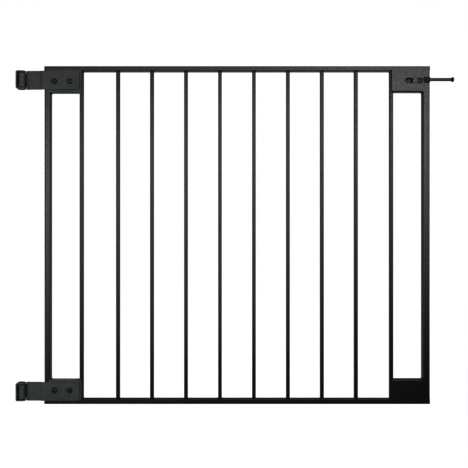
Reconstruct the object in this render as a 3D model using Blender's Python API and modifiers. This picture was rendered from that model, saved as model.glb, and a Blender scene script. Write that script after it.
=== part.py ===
"""A wall-hinged steel safety gate with a thumb-slide latch.

Metres, +Z up. X runs from the hinge-side wall towards the latch, -Y faces the user.
The origin is the centre of the lower wall bracket's back face, level with the hinge pins' axis.
"""

import math

import bmesh
import bpy
from mathutils import Matrix, Vector

GAP = 0.0003  # between pieces that touch
OVERRUN = 0.001  # how far a cutter passes what it cuts
SINK_OVERRUN = 0.001
SHARP_ANGLE = math.radians(35)

# The frame
FRAME_WIDTH = 0.855
FRAME_HEIGHT = 0.749
FRAME_DEPTH = 0.020
WALL_TO_FRAME = 0.0608
RAIL_TALL = 0.010
HINGE_POST_WIDE = 0.013
LATCH_POST_WIDE = 0.0153
TUBE_WALL = 0.0015
TUBE_CORNER = 0.001
CAP_THICK = 0.0015
CAP_PLUG = 0.010
HINGE_BAY = 0.0812  # from the frame's hinge side to the first bar's middle
LATCH_BAY = 0.0843  # from the last bar's middle to the frame's latch side
INNER_BARS = 8
INNER_BARS_START = 0.1622  # from the frame's hinge side to the second bar's middle
INNER_BARS_PITCH = 0.0757
BAR_WIDE = 0.0075
BAR_DEEP = 0.0127
BAR_WALL = 0.001
BAR_CORNER = 0.0012

# The wall brackets and pins
PIN_X = 0.0110
PIN_RADIUS = 0.004
PIN_CLEARANCE = 0.0001
UPPER_HINGE_DROP = 0.0312  # strap centre below the frame's top
LOWER_HINGE_RISE = 0.0282  # strap centre above the frame's bottom
BRACKET_TALL = 0.0398
BRACKET_THICK = 0.0025
EAR_RADIUS = 0.0097
PIN_HEAD_DEEP = 0.002
WALL_HOLE_RADIUS = 0.00275
WALL_HOLE_SINK_RADIUS = 0.0052
WALL_HOLE_Z = 0.010

# The hinge straps, their bushes and bolts
STRAP_THICK = 0.0025
STRAP_HALF_TALL = 0.0205
STRAP_CORNER = 0.004
STRAP_END_X = 0.1388
STRAP_MIDDLE_Y = 0.0014
STRAP_RISE = (0.0095, 0.0112)  # from the pin, where the strap grows from the knuckle to its full height
KNUCKLE_HALF_TALL = 0.0156
KNUCKLE_START = 355  # degrees round the pin, where the roll begins
KNUCKLE_END = 60  # and where the strap leaves it
KNUCKLE_STEPS = 28
JOGGLE = (0.0102, 0.0028)  # from the frame's hinge side, where the strap steps onto the frame
BUSH_WALL = 0.001
BUSH_SLEEVE = 0.010
BUSH_FLANGE_RADIUS = 0.0074
BUSH_FLANGE_THICK = 0.0012
BOLT_XS = (0.0839, 0.1176)
BOLT_OFFSET = 0.0027  # bolts sit this far from the strap's centre, towards the gate's middle
BOLT_RADIUS = 0.003
BOLT_HEAD_RADIUS = 0.0055
BOLT_CROWN_RADIUS = 0.0024
BOLT_HEAD_TALL = 0.003
BOLT_RIM = 0.0008
SOCKET_RADIUS = 0.0023
SOCKET_DEEP = 0.0018
WASHER_RADIUS = 0.006
WASHER_THICK = 0.0012
NUT_RADIUS = 0.00577  # across corners / 2, for 10 mm across flats
NUT_TALL = 0.005
NUT_DOME = 0.003
NUT_DOME_RADIUS = 0.0046

# The corner boxes
SHEET = 0.0015
BOX_BEND = 0.002
UPPER_HINGE_BOX_TALL = 0.0478
LOWER_HINGE_BOX_TALL = 0.0430
LATCH_HOUSING_TALL = 0.0465
LOWER_LATCH_BOX_TALL = 0.0436

# The latch. Distances along X that follow these are from the frame's latch side, towards the hinges.
ROD_DROP = 0.028  # rod axis below the frame's top
SLOT_DROP = 0.0318  # thumb slot's middle below the frame's top
ROD_RADIUS = 0.0033
ROD_Y = 0.009
ROD_REACH = 0.0561  # from the frame's latch side to the tip's end
ROD_TIP_RADIUS = 0.0053
ROD_TIP_LONG = 0.0066
ROD_TIP_DOME = 0.003
ROD_START = 0.0255
SPIGOT_RADIUS = 0.002
SPIGOT_LONG = 0.004
SLOT_START = 0.0556
SLOT_RADIUS = 0.0060
KNOB = (0.0379, 0.0274)
KNOB_HALF_TALL = 0.0056
KNOB_CORNER = 0.0045
KNOB_PROUD = 0.0013
SCOOP_HALF_TALL = 0.0055
SCOOP_MARGIN = 0.0015
SCOOP_DEEP = 0.0064
SCOOP_SHALLOW = 0.0018  # over the rod
SLIDER = (0.0550, 0.0170)
SLIDER_Y = (0.0026, 0.0173)
SLIDER_HALF_TALL = 0.0085
TRAY = (0.0785, 0.0160)
TRAY_Y = (0.0023, 0.0204)
TRAY_HALF_TALL = 0.0122
TRAY_END = 0.004
BUSHING_WIDE = 0.0140
BUSHING_HALF_TALL = 0.00625
BUSHING_DROP = 0.00215  # bushing's middle below the rod's axis
BUSHING_PROUD = 0.0022
BUSHING_BACK_Y = 0.0133
BUSHING_ROUNDING = 0.0016
NOSE_LONG = 0.0033
NOSE_RADIUS = 0.0041
SPRING_Y = 0.0135
SPRING_RADIUS = 0.0023
SPRING_WIRE = 0.00035
SPRING_TURNS = 11
SPRING_BORE_END = 0.0390
CROSS_PIN = 0.0215
CROSS_PIN_RADIUS = 0.0012
COVER = (0.0810, 0.0150)
COVER_HALF_TALL = 0.019
COVER_THICK = 0.0016
COVER_CORNER = 0.004
COVER_SCREW_RISE = 0.0155
COVER_SCREW_RADIUS = 0.0015

# What follows from them
FRAME_LEFT = WALL_TO_FRAME
FRAME_RIGHT = FRAME_LEFT + FRAME_WIDTH
FRAME_CENTRE_X = (FRAME_LEFT + FRAME_RIGHT) / 2
FRONT_Y = 0.0005
BACK_Y = FRONT_Y + FRAME_DEPTH
MID_Y = (FRONT_Y + BACK_Y) / 2
BOTTOM_Z = -LOWER_HINGE_RISE
TOP_Z = BOTTOM_Z + FRAME_HEIGHT
UPPER_HINGE_Z = TOP_Z - UPPER_HINGE_DROP
LOWER_HINGE_Z = 0.0
ROD_Z = TOP_Z - ROD_DROP
SLOT_Z = TOP_Z - SLOT_DROP
BUSHING_Z = ROD_Z - BUSHING_DROP
FIRST_BAR_X = FRAME_LEFT + HINGE_BAY
LAST_BAR_X = FRAME_RIGHT - LATCH_BAY
INNER_BAR_XS = [FRAME_LEFT + INNER_BARS_START + i * INNER_BARS_PITCH for i in range(INNER_BARS)]
BAR_XS = [FIRST_BAR_X, *INNER_BAR_XS, LAST_BAR_X]
KNUCKLE_RADIUS = PIN_RADIUS + PIN_CLEARANCE + BUSH_WALL + GAP + STRAP_THICK / 2


def from_latch_side(distances):
    return [FRAME_RIGHT - distance for distance in distances]


ROD_START_X, ROD_TIP_X = FRAME_RIGHT - ROD_START, FRAME_RIGHT + ROD_REACH
SPRING_BORE_END_X, CROSS_PIN_X = from_latch_side((SPRING_BORE_END, CROSS_PIN))
KNOB_X, SLIDER_X = from_latch_side(KNOB), from_latch_side(SLIDER)
TRAY_X, COVER_X = from_latch_side(TRAY), from_latch_side(COVER)

FINISHES = {  # base colour, roughness, metallic
    "powder_coat": ((0.028, 0.029, 0.030, 1), 0.45, 0.0),
    "hinge_coat": ((0.040, 0.043, 0.042, 1), 0.42, 0.0),
    "black_steel": ((0.018, 0.018, 0.019, 1), 0.35, 0.9),
    "black_nylon": ((0.012, 0.012, 0.012, 1), 0.50, 0.0),
    "spring_steel": ((0.45, 0.45, 0.44, 1), 0.30, 1.0),
}


# ---------------------------------------------------------------- scene and helpers


def clear_scene():
    for obj in list(bpy.data.objects):
        bpy.data.objects.remove(obj, do_unlink=True)


def new_collection(name):
    made = bpy.data.collections.new(name)
    bpy.context.scene.collection.children.link(made)
    return made


def finish_material(finish):
    """The finish's material, made on its first use."""
    if finish in bpy.data.materials:
        return bpy.data.materials[finish]
    colour, roughness, metallic = FINISHES[finish]
    made = bpy.data.materials.new(finish)
    made.use_nodes = True
    shader = made.node_tree.nodes["Principled BSDF"]
    shader.inputs["Base Color"].default_value = colour
    shader.inputs["Roughness"].default_value = roughness
    shader.inputs["Metallic"].default_value = metallic
    return made


def axes(local_x, local_y, local_z, at):
    """A placement whose columns are where the local axes point."""
    place = Matrix((local_x, local_y, local_z)).transposed().to_4x4()
    place.translation = Vector(at)
    return place


def facing_x(at):
    """Local Z along world +X, local X along +Y, local Y along +Z."""
    return axes((0, 1, 0), (0, 0, 1), (1, 0, 0), at)


def facing_y(at):
    """Local Z along world +Y, local X along -X, local Y along +Z."""
    return axes((-1, 0, 0), (0, 0, 1), (0, 1, 0), at)


def facing_front(at):
    """Local Z along world -Y, local X along +X, local Y along +Z."""
    return axes((1, 0, 0), (0, 0, 1), (0, -1, 0), at)


def facing_z(at):
    return Matrix.Translation(Vector(at))


def mesh_object(name, mesh, place):
    """A cutter until finished() makes it a part."""
    obj = bpy.data.objects.new(name, mesh)
    obj.matrix_world = place
    CUTTERS.objects.link(obj)
    obj.hide_render = True
    obj.display_type = "WIRE"
    return obj


def apply_modifiers(obj):
    graph = bpy.context.evaluated_depsgraph_get()
    mesh = bpy.data.meshes.new_from_object(obj.evaluated_get(graph))
    obj.modifiers.clear()
    obj.data = mesh


def finished(obj, finish, body):
    """Makes the object a part: its material, its collection and the empty that it moves with."""
    apply_modifiers(obj)
    CUTTERS.objects.unlink(obj)
    PARTS.objects.link(obj)
    obj.hide_render = False
    obj.display_type = "TEXTURED"
    obj.data.materials.clear()
    obj.data.materials.append(finish_material(finish))
    obj.data.shade_smooth()
    obj.data.set_sharp_from_angle(angle=SHARP_ANGLE)
    obj.parent = body
    obj.matrix_parent_inverse = body.matrix_world.inverted()
    return obj


def body_empty(name, at):
    empty = bpy.data.objects.new(name, None)
    empty.empty_display_size = 0.03
    empty.location = at
    PARTS.objects.link(empty)
    bpy.context.view_layer.update()
    return empty


# ---------------------------------------------------------------- shapes


def arc(centre, radius, start, end, steps):
    """Points on a circle, angles in degrees."""
    angles = [math.radians(start + (end - start) * i / steps) for i in range(steps + 1)]
    return [(centre[0] + radius * math.cos(a), centre[1] + radius * math.sin(a)) for a in angles]


def circle(radius, steps=24):
    return arc((0, 0), radius, 0, 360, steps)[:-1]


def rounded_rectangle(width, height, radius, steps=4, centre=(0, 0)):
    points = []
    for turn, (side_x, side_y) in enumerate(((1, 1), (-1, 1), (-1, -1), (1, -1))):
        middle = (
            centre[0] + side_x * (width / 2 - radius),
            centre[1] + side_y * (height / 2 - radius),
        )
        points += arc(middle, radius, 90 * turn, 90 * turn + 90, steps)
    return points


def extruded(name, outlines, depth, place):
    """Flat outlines, the later ones holes in the first, made this deep about the local XY plane."""
    curve = bpy.data.curves.new(name, "CURVE")
    curve.dimensions = "2D"
    curve.fill_mode = "BOTH"
    curve.extrude = depth / 2
    for outline in outlines:
        spline = curve.splines.new("POLY")
        spline.points.add(len(outline) - 1)
        for point, (x, y) in zip(spline.points, outline):
            point.co = (x, y, 0, 1)
        spline.use_cyclic_u = True
    return meshed(name, curve, place)


def meshed(name, curve, place):
    """A mesh object from a curve, with its caps welded on."""
    guide = bpy.data.objects.new(name + "_guide", curve)
    CUTTERS.objects.link(guide)
    graph = bpy.context.evaluated_depsgraph_get()
    mesh = bpy.data.meshes.new_from_object(guide.evaluated_get(graph))
    mesh.name = name
    work = bmesh.new()
    work.from_mesh(mesh)
    bmesh.ops.remove_doubles(work, verts=work.verts, dist=1e-6)
    bmesh.ops.recalc_face_normals(work, faces=work.faces)
    work.to_mesh(mesh)
    work.free()
    bpy.data.objects.remove(guide, do_unlink=True)
    return mesh_object(name, mesh, place)


def turned(name, profile, place, steps=24, ring=False):
    """A profile of (radius, height) points turned about local Z. It runs down its outer side."""
    mesh = bpy.data.meshes.new(name)
    edges = [(i, i + 1) for i in range(len(profile) - 1)]
    if ring:
        edges.append((len(profile) - 1, 0))
    mesh.from_pydata([(radius, 0, height) for radius, height in profile], edges, [])
    obj = mesh_object(name, mesh, place)
    screw = obj.modifiers.new("turn", "SCREW")
    screw.steps = steps
    screw.render_steps = steps
    screw.use_merge_vertices = True
    screw.merge_threshold = 0.00001
    return obj


def box(name, low, high, bevel=0.0, segments=2):
    """A box between two corners, with its edges rounded."""
    low, high = Vector(low), Vector(high)
    work = bmesh.new()
    bmesh.ops.create_cube(work, size=1)
    bmesh.ops.scale(work, vec=high - low, verts=work.verts)
    mesh = bpy.data.meshes.new(name)
    work.to_mesh(mesh)
    work.free()
    obj = mesh_object(name, mesh, Matrix.Translation((low + high) / 2))
    if bevel:
        rounding = obj.modifiers.new("edges", "BEVEL")
        rounding.width = bevel
        rounding.segments = segments
    return obj


def ribbon(name, path, half_heights, thickness, place):
    """A bent strip: local XY holds its middle line, and it stands this far up and down local Z."""
    rows = [(x, y, side * half) for side in (-1, 1) for (x, y), half in zip(path, half_heights)]
    count = len(path)
    faces = [(i, i + 1, count + i + 1, count + i) for i in range(count - 1)]
    mesh = bpy.data.meshes.new(name)
    mesh.from_pydata(rows, [], faces)
    obj = mesh_object(name, mesh, place)
    shell = obj.modifiers.new("thickness", "SOLIDIFY")
    shell.thickness = thickness
    shell.offset = 0
    shell.use_even_offset = True
    return obj


def combine(obj, other, operation):
    step = obj.modifiers.new(operation.lower(), "BOOLEAN")
    step.operation = operation
    step.solver = "EXACT"
    step.object = other
    return obj


def cut(obj, cutter):
    return combine(obj, cutter, "DIFFERENCE")


def drill(obj, place, radius, depth, steps=24):
    """A round hole this deep on both sides of the placement's origin, along its local Z."""
    work = bmesh.new()
    bmesh.ops.create_cone(
        work, cap_ends=True, segments=steps, radius1=radius, radius2=radius, depth=2 * depth
    )
    mesh = bpy.data.meshes.new(obj.name + "_drill")
    work.to_mesh(mesh)
    work.free()
    return cut(obj, mesh_object(obj.name + "_drill", mesh, place))


def smooth_step(value, start, end):
    """0 before start, 1 after end, and a smooth rise between."""
    share = min(max((value - start) / (end - start), 0), 1)
    return share * share * (3 - 2 * share)


# ---------------------------------------------------------------- wall brackets and pins


def wall_bracket(name, z):
    """A strip bent to a U, with two rounded ears, drilled for the pin and for two wall screws."""
    base = rounded_rectangle(2 * EAR_RADIUS, BRACKET_TALL, 0.0005)
    bracket = extruded(name, [base], BRACKET_THICK, facing_x((BRACKET_THICK / 2, 0, z)))
    tail = BRACKET_THICK / 2
    outline = [(tail, -EAR_RADIUS)] + arc((PIN_X, 0), EAR_RADIUS, -90, 90, 12) + [(tail, EAR_RADIUS)]
    ear_offset = (BRACKET_TALL - BRACKET_THICK) / 2
    for side in (-1, 1):
        place = facing_z((0, 0, z + side * ear_offset))
        combine(bracket, extruded(name + "_ear", [outline], BRACKET_THICK, place), "UNION")
    drill(bracket, facing_z((PIN_X, 0, z)), PIN_RADIUS + GAP, BRACKET_TALL)
    wide = PIN_RADIUS + GAP + PIN_HEAD_DEEP + SINK_OVERRUN
    slope = [(0, SINK_OVERRUN), (wide, SINK_OVERRUN), (PIN_RADIUS + GAP, -PIN_HEAD_DEEP), (0, -PIN_HEAD_DEEP)]
    cut(bracket, turned(name + "_countersink", slope, facing_z((PIN_X, 0, z + BRACKET_TALL / 2))))
    for side in (-1, 1):
        screw_z = z + side * WALL_HOLE_Z
        drill(bracket, facing_x((BRACKET_THICK / 2, 0, screw_z)), WALL_HOLE_RADIUS, BRACKET_THICK, 16)
        deep = WALL_HOLE_SINK_RADIUS - WALL_HOLE_RADIUS
        slope = [
            (0, SINK_OVERRUN),
            (WALL_HOLE_SINK_RADIUS + SINK_OVERRUN, SINK_OVERRUN),
            (WALL_HOLE_RADIUS, -deep),
            (0, -deep),
        ]
        cut(bracket, turned(name + "_screw_sink", slope, facing_x((BRACKET_THICK, 0, screw_z)), 16))
    return finished(bracket, "hinge_coat", WALL_SIDE)


def hinge_pin(name, z):
    """A countersunk pin, flush with the ears, with a staked lower end."""
    top = BRACKET_TALL / 2 - PIN_CLEARANCE
    head = PIN_RADIUS + PIN_HEAD_DEEP - PIN_CLEARANCE
    chamfer = 0.0005
    profile = [
        (0, top),
        (head, top),
        (PIN_RADIUS, top - PIN_HEAD_DEEP),
        (PIN_RADIUS, chamfer - top),
        (PIN_RADIUS - chamfer, -top),
        (0, -top),
    ]
    return finished(turned(name, profile, facing_z((PIN_X, 0, z)), 32), "black_steel", WALL_SIDE)


# ---------------------------------------------------------------- hinge straps


def strap_path():
    """The strap's middle line, and how many of its points are the knuckle.

    It rolls round the pin, leaves the knuckle at a slant that flattens out, then joggles onto the frame.
    """
    points = arc((PIN_X, 0), KNUCKLE_RADIUS, KNUCKLE_START, KNUCKLE_END, KNUCKLE_STEPS)
    knuckle_points = len(points)
    leave_x, leave_y = points[-1]
    slope = 1 / math.tan(math.radians(KNUCKLE_END))
    slant_end = leave_x + 2 * (leave_y - STRAP_MIDDLE_Y) / slope
    steps = 10
    for i in range(1, steps + 1):
        share = i / steps
        x = leave_x + (slant_end - leave_x) * share
        points.append((x, STRAP_MIDDLE_Y + (leave_y - STRAP_MIDDLE_Y) * (1 - share) ** 2))
    front_y = FRONT_Y - GAP - STRAP_THICK / 2
    start, end = (WALL_TO_FRAME - distance for distance in JOGGLE)
    for i in range(steps + 1):
        x = start + (end - start) * i / steps
        points.append((x, STRAP_MIDDLE_Y + (front_y - STRAP_MIDDLE_Y) * smooth_step(x, start, end)))
    corner_start = STRAP_END_X - STRAP_CORNER
    points += [(corner_start + STRAP_CORNER * math.sin(math.radians(a)), front_y) for a in range(0, 91, 18)]
    return points, knuckle_points


def strap_half_tall(x):
    """Full past the ears, and rounded at the far end."""
    rise = smooth_step(x, PIN_X + STRAP_RISE[0], PIN_X + STRAP_RISE[1])
    half = KNUCKLE_HALF_TALL + (STRAP_HALF_TALL - KNUCKLE_HALF_TALL) * rise
    past = max(0.0, x - (STRAP_END_X - STRAP_CORNER))
    return half - (STRAP_CORNER - math.sqrt(max(0.0, STRAP_CORNER**2 - past**2)))


def hinge_strap(name, z, towards_middle):
    path, knuckle_points = strap_path()
    halves = [KNUCKLE_HALF_TALL] * knuckle_points
    halves += [strap_half_tall(x) for x, _ in path[knuckle_points:]]
    strap = ribbon(name, path, halves, STRAP_THICK, facing_z((0, 0, z)))
    for x in BOLT_XS:
        at = (x, 0, z + towards_middle * BOLT_OFFSET)
        drill(strap, facing_y(at), BOLT_RADIUS + GAP, 2 * STRAP_THICK)
    return finished(strap, "hinge_coat", GATE)


def hinge_bushing(name, z, side):
    """A flanged bush between the pin and the knuckle; side is 1 at the knuckle's top, -1 at its bottom."""
    bore = PIN_RADIUS + PIN_CLEARANCE
    seat = KNUCKLE_HALF_TALL + GAP
    profile = [
        (bore, seat + BUSH_FLANGE_THICK),
        (BUSH_FLANGE_RADIUS, seat + BUSH_FLANGE_THICK),
        (BUSH_FLANGE_RADIUS, seat),
        (bore + BUSH_WALL, seat),
        (bore + BUSH_WALL, seat - BUSH_SLEEVE),
        (bore, seat - BUSH_SLEEVE),
    ]
    place = facing_z((PIN_X, 0, z))
    if side < 0:
        place = place @ Matrix.Rotation(math.pi, 4, "X")
    return finished(turned(name, profile, place, 32, ring=True), "black_nylon", GATE)


def hinge_bolt(name, x, z):
    """A domed socket-head bolt. Its local Z runs out of the head, towards the front."""
    seat = -(FRONT_Y - GAP - STRAP_THICK - GAP)
    nut_seat = -(BACK_Y + GAP + WASHER_THICK + GAP)
    end = nut_seat - NUT_TALL
    profile = [(0, seat + BOLT_HEAD_TALL)]
    for degrees in range(30, 91, 15):
        share = math.radians(degrees)
        radius = BOLT_CROWN_RADIUS + (BOLT_HEAD_RADIUS - BOLT_CROWN_RADIUS) * math.sin(share)
        profile.append((radius, seat + BOLT_RIM + (BOLT_HEAD_TALL - BOLT_RIM) * math.cos(share)))
    profile += [(BOLT_HEAD_RADIUS, seat), (BOLT_RADIUS, seat), (BOLT_RADIUS, end), (0, end)]
    bolt = turned(name, profile, facing_front((x, 0, z)))
    socket_place = facing_front((x, -(seat + BOLT_HEAD_TALL), z))
    drill(bolt, socket_place, SOCKET_RADIUS, SOCKET_DEEP, 6)
    return finished(bolt, "black_steel", GATE)


def washer(name, x, z):
    low = BACK_Y + GAP
    profile = [
        (BOLT_RADIUS + GAP, low + WASHER_THICK),
        (WASHER_RADIUS, low + WASHER_THICK),
        (WASHER_RADIUS, low),
        (BOLT_RADIUS + GAP, low),
    ]
    return finished(turned(name, profile, facing_y((x, 0, z)), ring=True), "black_steel", GATE)


def cap_nut(name, x, z):
    """A hexagon with a dome over the bolt's end, bored from the washer's side."""
    low = BACK_Y + 2 * GAP + WASHER_THICK
    high = low + NUT_TALL
    nut = extruded(name, [circle(NUT_RADIUS, 6)], NUT_TALL, facing_y((x, (low + high) / 2, z)))
    dome = [(0, NUT_DOME)]
    dome += [(NUT_DOME_RADIUS * math.sin(math.radians(a)), NUT_DOME * math.cos(math.radians(a)))
             for a in range(18, 91, 18)]
    dome += [(NUT_DOME_RADIUS, -OVERRUN), (0, -OVERRUN)]
    combine(nut, turned(name + "_dome", dome, facing_y((x, high, z))), "UNION")
    drill(nut, facing_y((x, low, z)), BOLT_RADIUS + GAP, NUT_TALL + GAP)
    return finished(nut, "black_steel", GATE)


def hinge(prefix, z, towards_middle):
    wall_bracket(f"{prefix}_wall_bracket", z)
    hinge_pin(f"{prefix}_hinge_pin", z)
    hinge_strap(f"{prefix}_hinge_strap", z, towards_middle)
    hinge_bushing(f"{prefix}_hinge_bushing_top", z, 1)
    hinge_bushing(f"{prefix}_hinge_bushing_bottom", z, -1)
    for label, x in zip(("outer", "inner"), BOLT_XS):
        bolt_z = z + towards_middle * BOLT_OFFSET
        hinge_bolt(f"{prefix}_hinge_bolt_{label}", x, bolt_z)
        washer(f"{prefix}_hinge_washer_{label}", x, bolt_z)
        cap_nut(f"{prefix}_hinge_nut_{label}", x, bolt_z)


# ---------------------------------------------------------------- frame


def tube(name, width, height, wall, corner, length, place):
    outer = rounded_rectangle(width, height, corner)
    inner = rounded_rectangle(width - 2 * wall, height - 2 * wall, max(corner - wall, 0.0003), 2)
    return extruded(name, [outer, inner], length, place)


def rail(name, z):
    length = FRAME_WIDTH - 2 * (CAP_THICK + GAP)
    place = facing_x((FRAME_CENTRE_X, MID_Y, z))
    made = tube(name, FRAME_DEPTH, RAIL_TALL, TUBE_WALL, TUBE_CORNER, length, place)
    return finished(made, "powder_coat", GATE)


def rail_cap(name, z, side):
    """A plug in a rail's end; side is -1 at the hinge side, 1 at the latch side."""
    end_x = FRAME_CENTRE_X + side * FRAME_WIDTH / 2
    head = rounded_rectangle(FRAME_DEPTH, RAIL_TALL, TUBE_CORNER)
    cap = extruded(name, [head], CAP_THICK, facing_x((end_x - side * CAP_THICK / 2, MID_Y, z)))
    inset = TUBE_WALL + GAP
    plug = rounded_rectangle(FRAME_DEPTH - 2 * inset, RAIL_TALL - 2 * inset, 0.0005, 2)
    depth = CAP_PLUG + CAP_THICK / 2
    middle = end_x - side * (CAP_THICK / 2 + depth / 2)
    combine(cap, extruded(name + "_plug", [plug], depth, facing_x((middle, MID_Y, z))), "UNION")
    return finished(cap, "black_nylon", GATE)


def upright(name, x, wide, deep, wall, corner):
    """A tube between the rails."""
    length = FRAME_HEIGHT - 2 * (RAIL_TALL + GAP)
    return tube(name, wide, deep, wall, corner, length, facing_z((x, MID_Y, (BOTTOM_Z + TOP_Z) / 2)))


def post(name, x, wide):
    return upright(name, x, wide, FRAME_DEPTH, TUBE_WALL, TUBE_CORNER)


def hinge_side_post():
    made = post("hinge_side_post", FRAME_LEFT + HINGE_POST_WIDE / 2, HINGE_POST_WIDE)
    return finished(made, "powder_coat", GATE)


def latch_side_post():
    """The post that the latch rod runs through, notched from the front for its bushing."""
    made = post("latch_side_post", FRAME_RIGHT - LATCH_POST_WIDE / 2, LATCH_POST_WIDE)
    half = BUSHING_HALF_TALL + GAP
    low = (FRAME_RIGHT - LATCH_POST_WIDE - OVERRUN, FRONT_Y - OVERRUN, BUSHING_Z - half)
    high = (FRAME_RIGHT + OVERRUN, BUSHING_BACK_Y + GAP, BUSHING_Z + half)
    cut(made, box("latch_side_post_notch", low, high))
    return finished(made, "powder_coat", GATE)


def bars():
    for number, x in enumerate(BAR_XS, 1):
        made = upright(f"bar_{number:02d}", x, BAR_WIDE, BAR_DEEP, BAR_WALL, BAR_CORNER)
        finished(made, "powder_coat", GATE)


def corner_box(name, side, top, tall):
    """A folded U of sheet in an end bay: front, floor (or roof) and back, lapping half of the bar.

    side is -1 in the hinge-side bay and 1 in the latch-side bay; top is whether it hangs from the top rail.
    """
    bar_x = FIRST_BAR_X if side < 0 else LAST_BAR_X
    post_face = FRAME_LEFT + HINGE_POST_WIDE + GAP if side < 0 else FRAME_RIGHT - LATCH_POST_WIDE - GAP
    low_x, high_x = min(bar_x, post_face), max(bar_x, post_face)
    away = -1 if top else 1  # from the rail towards the gate's middle
    rail_z = (TOP_Z - RAIL_TALL - GAP) if top else (BOTTOM_Z + RAIL_TALL + GAP)
    floor = tall - SHEET / 2
    front, back = FRONT_Y + SHEET / 2, BACK_Y - SHEET / 2
    # In the ribbon's own plane: local X is the distance from the rail, local Y is world Y.
    path = [(0, front)]
    path += arc((floor - BOX_BEND, front + BOX_BEND), BOX_BEND, 270, 360, 5)
    path += arc((floor - BOX_BEND, back - BOX_BEND), BOX_BEND, 0, 90, 5)
    path += [(0, back)]
    place = axes((0, 0, away), (0, 1, 0), (-away, 0, 0), ((low_x + high_x) / 2, 0, rail_z))
    half = (high_x - low_x) / 2
    folded = ribbon(name, path, [half] * len(path), SHEET, place)
    margin = GAP + BAR_WIDE / 2
    depth = GAP + BAR_DEEP / 2
    low = (bar_x - margin, MID_Y - depth, rail_z - 2 * tall)
    high = (bar_x + margin, MID_Y + depth, rail_z + 2 * tall)
    return cut(folded, box(name + "_bar_clearance", low, high))


def hinge_corner_box(name, hinge_z, top, tall):
    made = corner_box(name, -1, top, tall)
    towards_middle = -1 if top else 1
    for x in BOLT_XS:
        at = (x, MID_Y, hinge_z + towards_middle * BOLT_OFFSET)
        drill(made, facing_y(at), BOLT_RADIUS + GAP, FRAME_DEPTH)
    return finished(made, "hinge_coat", GATE)


# ---------------------------------------------------------------- latch


def latch_housing():
    """The latch-side upper corner box, with the thumb slot in front and a service window behind."""
    made = corner_box("latch_housing", 1, True, LATCH_HOUSING_TALL)
    left, right = FRAME_RIGHT - SLOT_START, FRAME_RIGHT - LATCH_POST_WIDE + OVERRUN
    outline = arc((left + SLOT_RADIUS, 0), SLOT_RADIUS, 90, 270, 16)
    outline += [(right, -SLOT_RADIUS), (right, SLOT_RADIUS)]
    place = facing_front((0, FRONT_Y + SHEET / 2, SLOT_Z))
    cut(made, extruded("latch_housing_slot", [outline], 4 * SHEET, place))
    half = TRAY_HALF_TALL + 2 * GAP
    low = (TRAY_X[0] - 2 * GAP, BACK_Y - 2 * SHEET, SLOT_Z - half)
    high = (TRAY_X[1] + 2 * GAP, BACK_Y + SHEET, SLOT_Z + half)
    cut(made, box("latch_housing_window", low, high))
    for side in (-1, 1):
        at = (sum(COVER_X) / 2, BACK_Y, SLOT_Z + side * COVER_SCREW_RISE)
        drill(made, facing_y(at), COVER_SCREW_RADIUS + GAP, 2 * SHEET, 16)
    return finished(made, "powder_coat", GATE)


def latch_guide():
    """The tray that the slider runs in. It is open at the front and towards the post."""
    low = (TRAY_X[0], TRAY_Y[0], SLOT_Z - TRAY_HALF_TALL)
    high = (TRAY_X[1], TRAY_Y[1], SLOT_Z + TRAY_HALF_TALL)
    tray = box("latch_guide", low, high, 0.0006)
    half = SLIDER_HALF_TALL + GAP
    pocket_low = (TRAY_X[0] + TRAY_END, TRAY_Y[0] - OVERRUN, SLOT_Z - half)
    pocket_high = (TRAY_X[1] + OVERRUN, SLIDER_Y[1] + GAP, SLOT_Z + half)
    cut(tray, box("latch_guide_pocket", pocket_low, pocket_high))
    return finished(tray, "black_nylon", GATE)


def return_spring():
    """A compression spring from the tray's end into the slider, with its ends half a wire clear."""
    start = TRAY_X[0] + TRAY_END + GAP + SPRING_WIRE
    end = SPRING_BORE_END_X - GAP - SPRING_WIRE
    per_turn = 12
    count = SPRING_TURNS * per_turn
    curve = bpy.data.curves.new("return_spring", "CURVE")
    curve.dimensions = "3D"
    curve.bevel_depth = SPRING_WIRE
    curve.bevel_resolution = 1
    curve.use_fill_caps = True
    spline = curve.splines.new("POLY")
    spline.points.add(count)
    for i, point in enumerate(spline.points):
        angle = 2 * math.pi * i / per_turn
        x = start + (end - start) * i / count
        point.co = (x, SPRING_RADIUS * math.cos(angle), SPRING_RADIUS * math.sin(angle), 1)
    return finished(meshed("return_spring", curve, facing_z((0, SPRING_Y, SLOT_Z))), "spring_steel", GATE)


def latch_rod_bushing():
    """The bush in the post's notch: proud of the front, with a short nose around the rod."""
    low = (FRAME_RIGHT - BUSHING_WIDE, FRONT_Y - BUSHING_PROUD, BUSHING_Z - BUSHING_HALF_TALL)
    high = (FRAME_RIGHT, BUSHING_BACK_Y, BUSHING_Z + BUSHING_HALF_TALL)
    bushing = box("latch_rod_bushing", low, high, BUSHING_ROUNDING, 3)
    root = -4 * OVERRUN
    nose = [(0, NOSE_LONG), (ROD_RADIUS + 2 * GAP, NOSE_LONG), (NOSE_RADIUS, 0), (NOSE_RADIUS, root), (0, root)]
    combine(bushing, turned("latch_rod_bushing_nose", nose, facing_x((FRAME_RIGHT, ROD_Y, ROD_Z))), "UNION")
    drill(bushing, facing_x((FRAME_RIGHT, ROD_Y, ROD_Z)), ROD_RADIUS + PIN_CLEARANCE, 2 * LATCH_POST_WIDE, 32)
    return finished(bushing, "black_nylon", GATE)


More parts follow.
